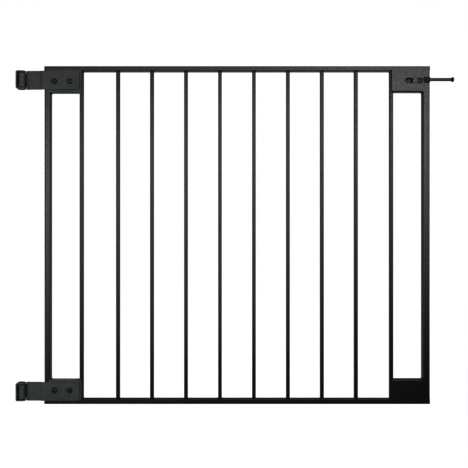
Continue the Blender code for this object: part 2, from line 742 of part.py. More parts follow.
def latch_slider():
    """The sliding block, with a thumb knob in the slot and a finger scoop on each side of it."""
    low = (SLIDER_X[0], SLIDER_Y[0], SLOT_Z - SLIDER_HALF_TALL)
    high = (SLIDER_X[1], SLIDER_Y[1], SLOT_Z + SLIDER_HALF_TALL)
    slider = box("latch_slider", low, high, 0.0005)
    knob_wide = KNOB_X[1] - KNOB_X[0]
    outline = rounded_rectangle(knob_wide, 2 * KNOB_HALF_TALL, KNOB_CORNER, 6)
    knob_front, knob_back = FRONT_Y - KNOB_PROUD, SLIDER_Y[0] + 2 * OVERRUN
    place = facing_front((sum(KNOB_X) / 2, (knob_front + knob_back) / 2, SLOT_Z))
    combine(slider, extruded("latch_slider_knob", [outline], knob_back - knob_front, place), "UNION")
    scoops = (
        (SLIDER_X[0] + SCOOP_MARGIN, KNOB_X[0] - 2 * GAP, SCOOP_DEEP),
        (KNOB_X[1] + 2 * GAP, SLIDER_X[1] - SCOOP_MARGIN, SCOOP_SHALLOW),
    )
    for left, right, deep in scoops:
        scoop_low = (left, SLIDER_Y[0] - 6 * OVERRUN, SLOT_Z - SCOOP_HALF_TALL)
        scoop_high = (right, SLIDER_Y[0] + deep, SLOT_Z + SCOOP_HALF_TALL)
        cut(slider, box("latch_slider_scoop", scoop_low, scoop_high, 0.0015, 3))
    rod_deep = SLIDER_X[1] - ROD_START_X + GAP
    drill(slider, facing_x((SLIDER_X[1], ROD_Y, ROD_Z)), ROD_RADIUS + GAP, rod_deep)
    spring_deep = SPRING_BORE_END_X - SLIDER_X[0]
    drill(slider, facing_x((SLIDER_X[0], SPRING_Y, SLOT_Z)), SPRING_RADIUS + SPRING_WIRE + GAP, spring_deep)
    drill(slider, facing_z((CROSS_PIN_X, ROD_Y, SLOT_Z)), CROSS_PIN_RADIUS + GAP, 2 * SLIDER_HALF_TALL, 16)
    return finished(slider, "black_nylon", LATCH)


def latch_rod():
    """The rod, cross-drilled for its pin, with a spigot for the tip."""
    shoulder = ROD_TIP_X - ROD_TIP_LONG - GAP
    chamfer = 0.0005
    profile = [
        (0, shoulder + SPIGOT_LONG),
        (SPIGOT_RADIUS, shoulder + SPIGOT_LONG),
        (SPIGOT_RADIUS, shoulder),
        (ROD_RADIUS - chamfer, shoulder),
        (ROD_RADIUS, shoulder - chamfer),
        (ROD_RADIUS, ROD_START_X + chamfer),
        (ROD_RADIUS - chamfer, ROD_START_X),
        (0, ROD_START_X),
    ]
    rod = turned("latch_rod", profile, facing_x((0, ROD_Y, ROD_Z)), 32)
    drill(rod, facing_z((CROSS_PIN_X, ROD_Y, ROD_Z)), CROSS_PIN_RADIUS + GAP, 2 * ROD_RADIUS, 16)
    return finished(rod, "black_steel", LATCH)


def latch_rod_tip():
    """A domed mushroom head, bored for the rod's spigot."""
    back = ROD_TIP_X - ROD_TIP_LONG
    dome_start = back + ROD_TIP_DOME
    dome_rise = ROD_TIP_X - dome_start
    rim = 0.0008
    profile = [(0, ROD_TIP_X)]
    for degrees in range(18, 91, 12):
        angle = math.radians(degrees)
        profile.append((ROD_TIP_RADIUS * math.sin(angle), dome_start + dome_rise * math.cos(angle)))
    profile += [(ROD_TIP_RADIUS, dome_start - rim), (ROD_RADIUS + GAP, back)]
    profile += [(SPIGOT_RADIUS + GAP, back), (SPIGOT_RADIUS + GAP, back + SPIGOT_LONG), (0, back + SPIGOT_LONG)]
    return finished(turned("latch_rod_tip", profile, facing_x((0, ROD_Y, ROD_Z))), "black_nylon", LATCH)


def latch_cross_pin():
    half = SLIDER_HALF_TALL - 2 * GAP
    profile = [(0, half), (CROSS_PIN_RADIUS, half), (CROSS_PIN_RADIUS, -half), (0, -half)]
    place = facing_z((CROSS_PIN_X, ROD_Y, SLOT_Z))
    return finished(turned("latch_cross_pin", profile, place, 16), "black_steel", LATCH)


def latch_back_cover():
    middle_x = sum(COVER_X) / 2
    plate = rounded_rectangle(COVER_X[1] - COVER_X[0], 2 * COVER_HALF_TALL, COVER_CORNER, 5)
    holes = [
        [(x, y + side * COVER_SCREW_RISE) for x, y in circle(COVER_SCREW_RADIUS + GAP, 16)] for side in (-1, 1)
    ]
    y = BACK_Y + GAP + COVER_THICK / 2
    cover = extruded("latch_back_cover", [plate] + holes, COVER_THICK, facing_y((middle_x, y, SLOT_Z)))
    return finished(cover, "black_nylon", GATE)


def cover_screw(name, side):
    """A pan-head screw. Its local Z runs out of the head, towards the back."""
    seat = BACK_Y + COVER_THICK + 2 * GAP
    profile = [
        (0, seat + 0.0018),
        (0.0017, seat + 0.0018),
        (0.0027, seat + 0.0010),
        (0.0029, seat),
        (COVER_SCREW_RADIUS, seat),
        (COVER_SCREW_RADIUS, seat - 0.0080),
        (0, seat - 0.0100),
    ]
    at = (sum(COVER_X) / 2, 0, SLOT_Z + side * COVER_SCREW_RISE)
    screw = turned(name, profile, facing_y(at), 16)
    for wide, tall in ((0.0028, 0.0006), (0.0006, 0.0028)):
        low = (at[0] - wide / 2, seat + 0.0008, at[2] - tall / 2)
        high = (at[0] + wide / 2, seat + 0.0030, at[2] + tall / 2)
        cut(screw, box(name + "_recess", low, high))
    return finished(screw, "black_steel", GATE)


# ---------------------------------------------------------------- the gate

clear_scene()
PARTS = new_collection("safety_gate")
CUTTERS = new_collection("cutters")
WALL_SIDE = body_empty("wall_side", (0, 0, 0))
GATE = body_empty("gate_swing", (PIN_X, 0, 0))
LATCH = body_empty("latch_slide", (0, ROD_Y, ROD_Z))
LATCH.parent = GATE
LATCH.matrix_parent_inverse = GATE.matrix_world.inverted()
bpy.context.view_layer.update()

hinge("upper", UPPER_HINGE_Z, -1)
hinge("lower", LOWER_HINGE_Z, 1)

rail("top_rail", TOP_Z - RAIL_TALL / 2)
rail("bottom_rail", BOTTOM_Z + RAIL_TALL / 2)
for rail_name, rail_z in (("top_rail", TOP_Z - RAIL_TALL / 2), ("bottom_rail", BOTTOM_Z + RAIL_TALL / 2)):
    rail_cap(f"{rail_name}_cap_hinge_side", rail_z, -1)
    rail_cap(f"{rail_name}_cap_latch_side", rail_z, 1)
hinge_side_post()
latch_side_post()
bars()
hinge_corner_box("upper_hinge_corner_box", UPPER_HINGE_Z, True, UPPER_HINGE_BOX_TALL)
hinge_corner_box("lower_hinge_corner_box", LOWER_HINGE_Z, False, LOWER_HINGE_BOX_TALL)
lower_latch_box = corner_box("lower_latch_corner_box", 1, False, LOWER_LATCH_BOX_TALL)
finished(lower_latch_box, "powder_coat", GATE)

latch_housing()
latch_guide()
return_spring()
latch_rod_bushing()
latch_slider()
latch_rod()
latch_rod_tip()
latch_cross_pin()
latch_back_cover()
cover_screw("latch_cover_screw_upper", 1)
cover_screw("latch_cover_screw_lower", -1)
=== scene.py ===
"""The looks of a wall-hinged steel safety gate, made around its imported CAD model.

Metres, +Z up, in the CAD model's frame: X runs from the hinge-side wall towards the
latch, -Y faces the user. Places come from the CAD nodes' boxes. The named sizes are
those that a box can't give, such as a sheet's thickness.
"""

import math

import bmesh
import bpy
from mathutils import Matrix, Vector


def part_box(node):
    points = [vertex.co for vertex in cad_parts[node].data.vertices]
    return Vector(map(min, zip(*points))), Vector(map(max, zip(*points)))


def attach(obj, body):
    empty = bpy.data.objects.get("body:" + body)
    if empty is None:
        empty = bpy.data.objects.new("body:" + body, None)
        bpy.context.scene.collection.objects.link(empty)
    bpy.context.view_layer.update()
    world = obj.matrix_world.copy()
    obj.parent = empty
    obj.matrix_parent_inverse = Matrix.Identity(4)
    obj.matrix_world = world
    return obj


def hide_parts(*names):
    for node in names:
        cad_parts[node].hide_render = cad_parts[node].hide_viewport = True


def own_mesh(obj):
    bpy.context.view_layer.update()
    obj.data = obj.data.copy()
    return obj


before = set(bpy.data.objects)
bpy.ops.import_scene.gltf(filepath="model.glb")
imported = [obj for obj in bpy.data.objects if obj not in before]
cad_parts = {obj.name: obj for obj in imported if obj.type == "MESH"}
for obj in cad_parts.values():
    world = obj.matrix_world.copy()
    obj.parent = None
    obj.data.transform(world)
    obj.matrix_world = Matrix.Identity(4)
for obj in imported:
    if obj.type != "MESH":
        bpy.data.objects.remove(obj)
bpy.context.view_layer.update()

GAP = 0.0003  # what the CAD model leaves between pieces that touch
OVERLAP = 0.001  # how far a cutter reaches past a face, or a part into what it joins
RUNNING_FIT = 0.0001  # a bush's bore over what turns or slides in it, in radius
CUT_EDGE = 0.00045  # rounding of a cut and coated sheet edge
FOLDED_EDGE = 0.0003  # and of a corner box or a notched post
MOULDED_EDGE = 0.0005
SHARP_ANGLE = math.radians(38)

# Tubes, sheets and welds
TUBE_WALL = 0.0015
TUBE_CORNER = 0.0012
POST_CORNER = 0.0028
BAR_WALL = 0.001
BAR_CORNER = 0.0014
SHEET = 0.0015
BOX_BEND = 0.002
BEAD = 0.0012  # radius
BEAD_LARGE = 0.0020
BEAD_RIPPLE = 0.0012  # from one ripple to the next
SEAM = 0.0013  # half the width of a ground weld
SEAM_SUNK = 0.00004  # how far it lies below the faces beside it
SEAM_SHORT = 0.0003  # how far its ends stay inside the corners
CAP_HEAD = 0.0015

# Hinges
BRACKET_THICK = 0.0025
BRACKET_BEND = 0.0022
PIN_HEAD_DEEP = 0.002
PIN_HEAD_FLARE = 0.0001  # how much less than its depth the head widens
WALL_HOLE = 0.00275
WALL_HOLE_SINK = 0.0049
WALL_HOLE_Z = 0.010
STRAP_THICK = 0.0025
STRAP_CORNER = 0.004
STRAP_MIDDLE_Y = 0.0014
STRAP_EDGE = 0.0006
# From the pin, where the strap grows from the knuckle to its full height
STRAP_RISE = (0.0095, 0.0112)
KNUCKLE_START = 355  # degrees round the pin, where the roll begins
KNUCKLE_END = 78  # and where the strap leaves it
# From the pin to where the strap is flat, and the pulls of the curve to it
LANDING = (0.0190, 0.0066, 0.0092)
JOGGLE = (0.0102, 0.0028)  # from the frame's hinge side, where the strap steps onto it
BUSH_WALL = 0.001
BUSH_FLANGE_THICK = 0.0012
BOLT_RADIUS = 0.003
BOLT_HEAD_TALL = 0.003
SOCKET = 0.0023
SOCKET_DEEP = 0.0018
NUT_TALL = 0.005

# Latch. KNOB and SLOT_START are from the frame's latch side, towards the hinges.
KNOB = (0.0379, 0.0274)
KNOB_HALF_TALL = 0.0056
KNOB_CORNER = 0.0045
KNOB_PROUD = 0.0034  # of the slider's block
KNOB_RIB_PITCH = 0.0021
SCOOP_HALF_TALL = 0.0055
SCOOP_DEEP = (0.0064, 0.0018)  # on the hinge side of the knob, and on the latch side
SLOT_START = 0.0556
SLOT_RADIUS = 0.0060
NOSE_RADIUS = 0.0041
TRAY_END = 0.004
SPRING_RADIUS = 0.0023
SPRING_WIRE = 0.00035
SPRING_TURNS = 11
SCREW_RADIUS = 0.0015


class Box:
    """Where a CAD node is: its corners, its middle and its size."""

    def __init__(self, node):
        self.low, self.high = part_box(node)
        self.middle = (self.low + self.high) / 2
        self.size = self.high - self.low


TOP_RAIL = Box("top_rail")
FRONT_Y, BACK_Y, MID_Y = TOP_RAIL.low.y, TOP_RAIL.high.y, TOP_RAIL.middle.y
LEFT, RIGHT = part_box("hinge_side_post")[0].x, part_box("latch_side_post")[1].x
BOTTOM_Z, TOP_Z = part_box("bottom_rail")[0].z, TOP_RAIL.high.z
ROD = Box("latch_rod")
ROD_RADIUS = ROD.size.y / 2
KNUCKLE_HALF_TALL = (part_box("upper_hinge_bushing_top")[1].z - BUSH_FLANGE_THICK - GAP
                     - Box("upper_hinge_strap").middle.z)


# ---------- placements


def axes(local_x, local_y, local_z, at):
    """A placement whose columns are where the local axes point."""
    place = Matrix((local_x, local_y, local_z)).transposed().to_4x4()
    place.translation = Vector(at)
    return place


def facing_x(at):
    """Local Z along world +X, local X along +Y, local Y along +Z."""
    return axes((0, 1, 0), (0, 0, 1), (1, 0, 0), at)


def facing_back(at):
    """Local Z along world +Y, local X along -X, local Y along +Z."""
    return axes((-1, 0, 0), (0, 0, 1), (0, 1, 0), at)


def facing_front(at):
    """Local Z along world -Y, local X along +X, local Y along +Z."""
    return axes((1, 0, 0), (0, 0, 1), (0, -1, 0), at)


def facing_z(at):
    return Matrix.Translation(Vector(at))


# ---------- shapes


def arc(centre, radius, start, end, steps):
    """Points on a circle, angles in degrees."""
    angles = [math.radians(start + (end - start) * i / steps) for i in range(steps + 1)]
    return [(centre[0] + radius * math.cos(a), centre[1] + radius * math.sin(a)) for a in angles]


def circle(radius, steps, centre=(0, 0)):
    return arc(centre, radius, 0, 360, steps)[:-1]


def rounded_rectangle(width, height, radius, steps=6, centre=(0, 0)):
    points = []
    for turn, (side_x, side_y) in enumerate(((1, 1), (-1, 1), (-1, -1), (1, -1))):
        middle = (
            centre[0] + side_x * (width / 2 - radius),
            centre[1] + side_y * (height / 2 - radius),
        )
        points += arc(middle, radius, 90 * turn, 90 * turn + 90, steps)
    return points


def mesh_object(name, mesh, place):
    obj = bpy.data.objects.new(name, mesh)
    obj.matrix_world = place
    bpy.context.scene.collection.objects.link(obj)
    return obj


def evaluated_mesh(obj):
    graph = bpy.context.evaluated_depsgraph_get()
    return bpy.data.meshes.new_from_object(obj.evaluated_get(graph))


def apply_modifiers(obj):
    mesh = evaluated_mesh(obj)
    obj.modifiers.clear()
    obj.data = mesh
    return obj


def meshed(name, curve, place):
    """A mesh object from a curve, with its caps welded on."""
    guide = bpy.data.objects.new(name + "_guide", curve)
    bpy.context.scene.collection.objects.link(guide)
    mesh = evaluated_mesh(guide)
    work = bmesh.new()
    work.from_mesh(mesh)
    bmesh.ops.remove_doubles(work, verts=work.verts, dist=1e-6)
    bmesh.ops.recalc_face_normals(work, faces=work.faces)
    work.to_mesh(mesh)
    work.free()
    bpy.data.objects.remove(guide)
    return mesh_object(name, mesh, place)


def extruded(name, outlines, depth, place):
    """Flat outlines, the later ones holes in the first, this deep about the local XY plane."""
    curve = bpy.data.curves.new(name, "CURVE")
    curve.dimensions = "2D"
    curve.fill_mode = "BOTH"
    curve.extrude = depth / 2
    for outline in outlines:
        spline = curve.splines.new("POLY")
        spline.points.add(len(outline) - 1)
        for point, (x, y) in zip(spline.points, outline):
            point.co = (x, y, 0, 1)
        spline.use_cyclic_u = True
    return meshed(name, curve, place)


def wire(name, path, radius, place=Matrix(), closed=False, swell=None):
    """A round wire along a path. swell gives each point's share of the radius."""
    curve = bpy.data.curves.new(name, "CURVE")
    curve.dimensions = "3D"
    curve.bevel_depth = radius
    curve.bevel_resolution = 3
    curve.use_fill_caps = True
    spline = curve.splines.new("POLY")
    spline.points.add(len(path) - 1)
    for i, (point, at) in enumerate(zip(spline.points, path)):
        point.co = (*at, 1)
        point.radius = swell(i) if swell else 1
    spline.use_cyclic_u = closed
    return meshed(name, curve, place)


def turned(name, profile, place, steps=48, ring=False):
    """A profile of (radius, height) points turned about local Z. It runs down its outer side."""
    mesh = bpy.data.meshes.new(name)
    edges = [(i, i + 1) for i in range(len(profile) - 1)]
    if ring:
        edges.append((len(profile) - 1, 0))
    mesh.from_pydata([(radius, 0, height) for radius, height in profile], edges, [])
    obj = mesh_object(name, mesh, place)
    screw = obj.modifiers.new("turn", "SCREW")
    screw.steps = screw.render_steps = steps
    screw.use_merge_vertices = True
    screw.merge_threshold = 0.00001
    return apply_modifiers(obj)


def box(name, low, high, rounding=0.0, segments=3):
    """A box between two corners, with its edges rounded."""
    low, high = Vector(low), Vector(high)
    work = bmesh.new()
    bmesh.ops.create_cube(work, size=1)
    bmesh.ops.scale(work, vec=high - low, verts=work.verts)
    if rounding:
        bmesh.ops.bevel(work, geom=work.edges[:], offset=rounding, segments=segments,
                        affect="EDGES", profile=0.5)
    mesh = bpy.data.meshes.new(name)
    work.to_mesh(mesh)
    work.free()
    return mesh_object(name, mesh, Matrix.Translation((low + high) / 2))


def ribbon(name, path, half_heights, thickness, place):
    """A bent strip: local XY holds its middle line, and it stands this far up and down local Z."""
    rows = [(x, y, side * half) for side in (-1, 1) for (x, y), half in zip(path, half_heights)]
    count = len(path)
    faces = [(i, i + 1, count + i + 1, count + i) for i in range(count - 1)]
    mesh = bpy.data.meshes.new(name)
    mesh.from_pydata(rows, [], faces)
    obj = mesh_object(name, mesh, place)
    shell = obj.modifiers.new("thickness", "SOLIDIFY")
    shell.thickness = thickness
    shell.offset = 0
    shell.use_even_offset = True
    return apply_modifiers(obj)


def combine(obj, other, operation):
    step = obj.modifiers.new(operation.lower(), "BOOLEAN")
    step.operation = operation
    step.solver = "EXACT"
    step.object = other
    apply_modifiers(obj)
    bpy.data.objects.remove(other)
    return obj


def cut(obj, cutter):
    return combine(obj, cutter, "DIFFERENCE")


def drill(obj, place, radius, depth, steps=32, sink=0.0):
    """A round hole this deep on both sides of the placement's origin, along its local Z.

    With sink, it opens out to that radius, at 45 degrees, at the face near its +Z end.
    """
    profile = [(0, depth), (radius, depth), (radius, -depth), (0, -depth)]
    if sink:
        face = depth - OVERLAP
        profile = [(0, depth), (sink + OVERLAP, depth), (sink, face)]
        profile += [(radius, face - (sink - radius)), (radius, -depth), (0, -depth)]
    return cut(obj, turned(obj.name + "_drill", profile, place, steps))


def smooth_step(value, start, end):
    """0 before start, 1 after end, and a smooth rise between."""
    share = min(max((value - start) / (end - start), 0), 1)
    return share * share * (3 - 2 * share)


def even_points(path, step, closed=False):
    """Points about this far apart along a path."""
    corners = [Vector(p) for p in path] + ([Vector(path[0])] if closed else [])
    lengths = [(b - a).length for a, b in zip(corners, corners[1:])]
    whole = sum(lengths)
    count = max(2, round(whole / step))
    points, leg, start = [], 0, 0.0
    for i in range(count + (not closed)):
        along = min(whole * i / count, whole - 1e-9)
        while along > start + lengths[leg]:
            start += lengths[leg]
            leg += 1
        points.append(corners[leg].lerp(corners[leg + 1], (along - start) / lengths[leg]))
    return points


def bead(name, path, radius=BEAD, closed=False):
    """A weld bead along a path: a wire that swells where each ripple of the weld pool set."""
    per_ripple = 4
    points = even_points(path, BEAD_RIPPLE / per_ripple, closed)

    def swell(i):
        ripple = abs(math.sin(math.pi * i / per_ripple))
        wander = math.sin(i * 0.37) * math.sin(i * 0.113 + 1)
        end = 1.0 if closed else min(1.0, 0.55 + 0.15 * min(i, len(points) - 1 - i))
        return (0.86 + 0.14 * ripple + 0.05 * wander) * end

    return wire(name, points, radius, closed=closed, swell=swell)


def joined(name, parts):
    """One object from several that stand in world space."""
    work = bmesh.new()
    for part in parts:
        part.data.transform(part.matrix_world)
        work.from_mesh(part.data)
        bpy.data.objects.remove(part)
    mesh = bpy.data.meshes.new(name)
    work.to_mesh(mesh)
    work.free()
    return mesh_object(name, mesh, Matrix())


# ---------- materials


class Nodes:
    """A node tree, with short ways to add and link nodes."""

    def __init__(self, tree):
        self.tree = tree

    def set(self, node, values):
        for socket, value in values.items():
            if isinstance(value, bpy.types.NodeSocket):
                self.tree.links.new(value, node.inputs[socket])
            else:
                node.inputs[socket].default_value = value

    def add(self, kind, values=None, **settings):
        node = self.tree.nodes.new("ShaderNode" + kind)
        for key, value in settings.items():
            setattr(node, key, value)
        self.set(node, values or {})
        return node

    def math(self, operation, first, second):
        node = self.add("Math", {0: first, 1: second}, operation=operation)
        return node.outputs["Value"]

    def spread(self, value, low, high, start=0.3, end=0.7):
        """The value from start..end spread over low..high."""
        given = {"Value": value, "From Min": start, "From Max": end, "To Min": low, "To Max": high}
        return self.add("MapRange", given).outputs["Result"]


class Shader(Nodes):
    """A material, and what its surface is made from."""

    def __init__(self, name):
        self.material = bpy.data.materials.new(name)
        self.material.use_nodes = True
        super().__init__(self.material.node_tree)
        self.surface = self.tree.nodes["Principled BSDF"]

    def finish(self, colours, gloss, normal, more=None):
        given = {"Base Color": colours, "Roughness": gloss, "Normal": normal}
        self.set(self.surface, given | (more or {}))
        return self.material

    def noise(self, scale, detail, stretch=(1, 1, 1)):
        """A noise of this many features a metre on the object's own coordinates."""
        where = self.add("TexCoord").outputs["Object"]
        if stretch != (1, 1, 1):
            where = self.add("Mapping", {"Vector": where, "Scale": stretch}).outputs["Vector"]
        given = {"Vector": where, "Scale": scale, "Detail": detail}
        return self.add("TexNoise", given).outputs["Fac"]

    def mixed(self, share, first, second):
        node = self.add("Mix", data_type="RGBA")
        self.set(node, {0: share, 6: first, 7: second})
        return node.outputs[2]

    def bump(self, height, strength, distance, onto=None):
        given = {"Height": height, "Strength": strength, "Distance": distance}
        if onto is not None:
            given["Normal"] = onto
        return self.add("Bump", given).outputs["Normal"]

    def creases(self, reach, depth):
        """1 in the open, falling towards 0 where other surfaces stand closer than this reach."""
        near = self.add("AmbientOcclusion", {"Distance": reach}, samples=8).outputs["AO"]
        return self.math("POWER", near, depth)

    def edges(self, start, end, share):
        """This share along convex edges and 0 on flats."""
        edge = self.spread(self.add("NewGeometry").outputs["Pointiness"], 0.0, 1.0, start, end)
        return self.spread(edge, 0, share, 0, 1)


def grey(colour, share):
    return (*(channel * share for channel in colour), 1)


# Painted shade in creases, where other surfaces stand close: how far it reaches
CREASE_SHADE_REACH = 0.012
CREASE_SHADE_LEFT = 0.2  # share of the colour left in a crease at its darkest, painted shade


def powder_coat(name, colour, roughness, peel=1.0, specular=0.5, crease_shade=0.0):
    """Baked powder: a faint orange peel, cloudy gloss, and a thinner, lighter film on the edges.

    Its last argument paints shade into the creases: the colour darkens where other surfaces stand
    close.
    """
    made = Shader(name)
    cloud = made.spread(made.noise(28, 4), 0, 1)
    colours = made.mixed(cloud, grey(colour, 0.86), grey(colour, 1.14))
    fleck = made.spread(made.noise(2600, 1), 0, 1, 0.62, 0.74)
    colours = made.mixed(made.spread(fleck, 0, 0.35, 0, 1), colours, grey(colour, 1.9))
    colours = made.mixed(made.edges(0.52, 0.60, 0.30), colours, grey(colour, 2.2))
    # painted shade: a darker colour in the creases, where other surfaces stand close
    if crease_shade:
        colours = made.mixed(made.creases(CREASE_SHADE_REACH, crease_shade), grey(colour, CREASE_SHADE_LEFT), colours)
    gloss = made.spread(made.noise(160, 3), roughness - 0.04, roughness + 0.05)
    peeled = made.bump(made.noise(780, 3), 0.30 * peel, 0.00008)
    grain = made.bump(made.noise(3200, 2), 0.22 * peel, 0.00002, peeled)
    return made.finish(colours, gloss, grain, {"Specular IOR Level": specular})


def oxide_steel(name, colour, roughness, stretch=(1, 1, 1)):
    """Blackened steel: fine turning or drawing marks, and a little bright steel on the edges."""
    made = Shader(name)
    cloud = made.spread(made.noise(220, 4), 0, 1)
    colours = made.mixed(cloud, grey(colour, 0.75), grey(colour, 1.25))
    colours = made.mixed(made.edges(0.53, 0.62, 0.5), colours, (0.13, 0.13, 0.13, 1))
    marks = made.noise(1500, 3, stretch)
    gloss = made.spread(marks, roughness - 0.06, roughness + 0.08)
    return made.finish(colours, gloss, made.bump(marks, 0.25, 0.00003), {"Metallic": 0.85})


def moulded_nylon(name, colour, roughness):
    """Injection-moulded nylon: a spark-eroded grain, flow clouds and lightly rubbed edges."""
    made = Shader(name)
    cloud = made.spread(made.noise(90, 5), 0, 1)
    colours = made.mixed(cloud, grey(colour, 0.8), grey(colour, 1.2))
    colours = made.mixed(made.edges(0.53, 0.62, 0.35), colours, grey(colour, 3.0))
    gloss = made.spread(made.noise(420, 3), roughness - 0.05, roughness + 0.06)
    grain = made.bump(made.noise(2300, 3), 0.35, 0.00004)
    return made.finish(colours, gloss, grain)


def drawn_wire(name, colour, roughness):
    """Spring wire: bright, with drawing lines along it."""
    made = Shader(name)
    streak = made.noise(900, 3, (6, 1, 1))
    colours = made.mixed(made.spread(streak, 0, 1), grey(colour, 0.7), grey(colour, 1.15))
    gloss = made.spread(streak, roughness - 0.05, roughness + 0.1)
    return made.finish(colours, gloss, made.bump(streak, 0.2, 0.00002), {"Metallic": 1.0})


FRAME_COLOUR = (0.006, 0.0061, 0.0062)
HINGE_COLOUR = (0.080, 0.0875, 0.085)
DRAWN_ALONG_X = (0.15, 1, 1)
FINISHES = {  # a material and the slot that it answers to
    "frame": (powder_coat("frame_powder_coat", FRAME_COLOUR, 0.29), "frame_coat"),
    "bar": (powder_coat("bar_powder_coat", FRAME_COLOUR, 0.29, specular=0.37), "frame_coat"),
    # the hinge coat's creases get painted shade (its last number)
    "hinge": (powder_coat("hinge_powder_coat", HINGE_COLOUR, 0.60, 1.3, 0.2, 0.8), "hinge_coat"),
    "steel": (oxide_steel("black_oxide_steel", (0.011, 0.011, 0.012), 0.42), "black_steel"),
    "bolt": (oxide_steel("black_oxide_bolt", (0.056, 0.056, 0.057), 0.52), "black_steel"),
    "rod": (oxide_steel("black_oxide_rod", (0.046, 0.046, 0.047), 0.30, DRAWN_ALONG_X),
            "black_steel"),
    "nylon": (moulded_nylon("black_nylon_moulding", (0.009, 0.009, 0.009), 0.62), "black_nylon"),
    "slider": (moulded_nylon("slider_nylon_moulding", (0.014, 0.014, 0.014), 0.47),
               "black_nylon"),
    # the knob's faces: glossier, as if polished by use, and lighter, a painted highlight
    "knob": (moulded_nylon("satin_nylon_painted_highlight", (0.020, 0.020, 0.020), 0.30), "black_nylon"),
    "spring": (drawn_wire("drawn_spring_wire", (0.45, 0.45, 0.44), 0.28), "spring_steel"),
}


def piece(obj, finish, body, *nodes, rounding=0.0, segments=3):
    """Rounds the object's edges, gives it its finish, and lets it stand for its CAD nodes."""
    if rounding:
        edges = obj.modifiers.new("edges", "BEVEL")
        edges.width = rounding
        edges.segments = segments
        edges.limit_method = "ANGLE"
        edges.angle_limit = SHARP_ANGLE
        apply_modifiers(obj)
    obj.data.transform(obj.matrix_world)
    obj.matrix_world = Matrix()
    obj.data.shade_smooth()
    obj.data.set_sharp_from_angle(angle=SHARP_ANGLE)
    shading = obj.modifiers.new("shading", "WEIGHTED_NORMAL")
    shading.keep_sharp = True
    material, slot = FINISHES[finish]
    obj.data.materials.clear()
    obj.data.materials.append(material)
    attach(obj, body)
    if nodes:
        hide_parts(*nodes)
    return obj


# ---------- hinges


def shank_radius(pin):
    """A hinge pin's radius below its countersunk head."""
    return pin.size.y / 2 - PIN_HEAD_DEEP + PIN_HEAD_FLARE


def wall_bracket(node, pin):
    """A strip bent to a U with two rounded ears, countersunk for its pin and two wall screws."""
    at = Box(node)
    x, z = pin.middle.x, at.middle.z
    ear_radius = at.high.x - x
    half = at.size.z / 2 - BRACKET_THICK / 2
    bend_x = BRACKET_THICK / 2 + BRACKET_BEND
    path = [(at.high.x, -half)]
    path += arc((bend_x, BRACKET_BEND - half), BRACKET_BEND, 270, 180, 10)
    path += arc((bend_x, half - BRACKET_BEND), BRACKET_BEND, 180, 90, 10)
    path += [(at.high.x, half)]
    place = axes((1, 0, 0), (0, 0, 1), (0, -1, 0), (0, 0, z))
    bracket = ribbon(node + "_strip", path, [ear_radius] * len(path), BRACKET_THICK, place)
    outline = [(-OVERLAP, -ear_radius)] + arc((x, 0), ear_radius, -90, 90, 32)
    outline += [(-OVERLAP, ear_radius)]
    plan = extruded(node + "_plan", [outline], 2 * at.size.z, facing_z((0, 0, z)))
    combine(bracket, plan, "INTERSECT")
    bore = shank_radius(pin) + GAP
    drill(bracket, facing_z((x, 0, z)), bore, at.size.z)
    wide = bore + PIN_HEAD_DEEP + OVERLAP
    slope = [(0, OVERLAP), (wide, OVERLAP), (bore, -PIN_HEAD_DEEP), (0, -PIN_HEAD_DEEP)]
    cut(bracket, turned(node + "_countersink", slope, facing_z((x, 0, at.high.z))))
    for side in (-1, 1):
        hole = (BRACKET_THICK / 2, 0, z + side * WALL_HOLE_Z)
        drill(bracket, facing_x(hole), WALL_HOLE, BRACKET_THICK / 2 + OVERLAP,
              sink=WALL_HOLE_SINK)
    piece(bracket, "hinge", "wall_brackets", node, rounding=CUT_EDGE)


def hinge_pin(node):
    """A countersunk pin with a centre mark in its head and a staked lower end."""
    at = Box(node)
    head, shank = at.size.y / 2, shank_radius(at)
    top, bottom = at.high.z, at.low.z
    soft, stake = 0.0003, 0.0006
    mark, mark_deep, mark_rim, mark_lip = 0.0006, 0.0006, 0.0009, 0.0001
    dimple, dimple_deep = 0.0012, 0.0005
    profile = [(0, top - mark_deep), (mark, top - mark_lip), (mark_rim, top), (head - soft, top)]
    profile += [(head, top - soft), (shank, top - PIN_HEAD_DEEP), (shank, bottom + stake)]
    profile += [(shank - stake, bottom), (dimple, bottom), (0, bottom + dimple_deep)]
    piece(turned(node + "_turned", profile, facing_z((at.middle.x, at.middle.y, 0)), 64),
          "steel", "wall_brackets", node)


def strap_path(pin, strap):
    """The strap's middle line: a rolled knuckle, a slant that flattens out, then a joggle.

    Also says how many of its points are the knuckle's.
    """
    radius = pin.middle.x - strap.low.x - STRAP_THICK / 2
    points = arc((pin.middle.x, 0), radius, KNUCKLE_START, KNUCKLE_END, 56)
    knuckle_points = len(points)
    leave = Vector(points[-1])
    heading = math.radians(KNUCKLE_END)
    land = Vector((pin.middle.x + LANDING[0], STRAP_MIDDLE_Y))
    first = leave + LANDING[1] * Vector((math.sin(heading), -math.cos(heading)))
    second = land - Vector((LANDING[2], 0))
    steps = 24
    for i in range(1, steps + 1):
        t = i / steps
        at = ((1 - t)**3 * leave + 3 * t * (1 - t)**2 * first + 3 * t**2 * (1 - t) * second
              + t**3 * land)
        points.append((at.x, at.y))
    front_y = FRONT_Y - GAP - STRAP_THICK / 2
    start, end = (LEFT - distance for distance in JOGGLE)
    for i in range(steps + 1):
        x = start + (end - start) * i / steps
        step_y = (front_y - STRAP_MIDDLE_Y) * smooth_step(x, start, end)
        points.append((x, STRAP_MIDDLE_Y + step_y))
    points += [(strap.high.x - STRAP_CORNER * (1 - math.sin(math.radians(a))), front_y)
               for a in range(0, 91, 9)]
    return points, knuckle_points


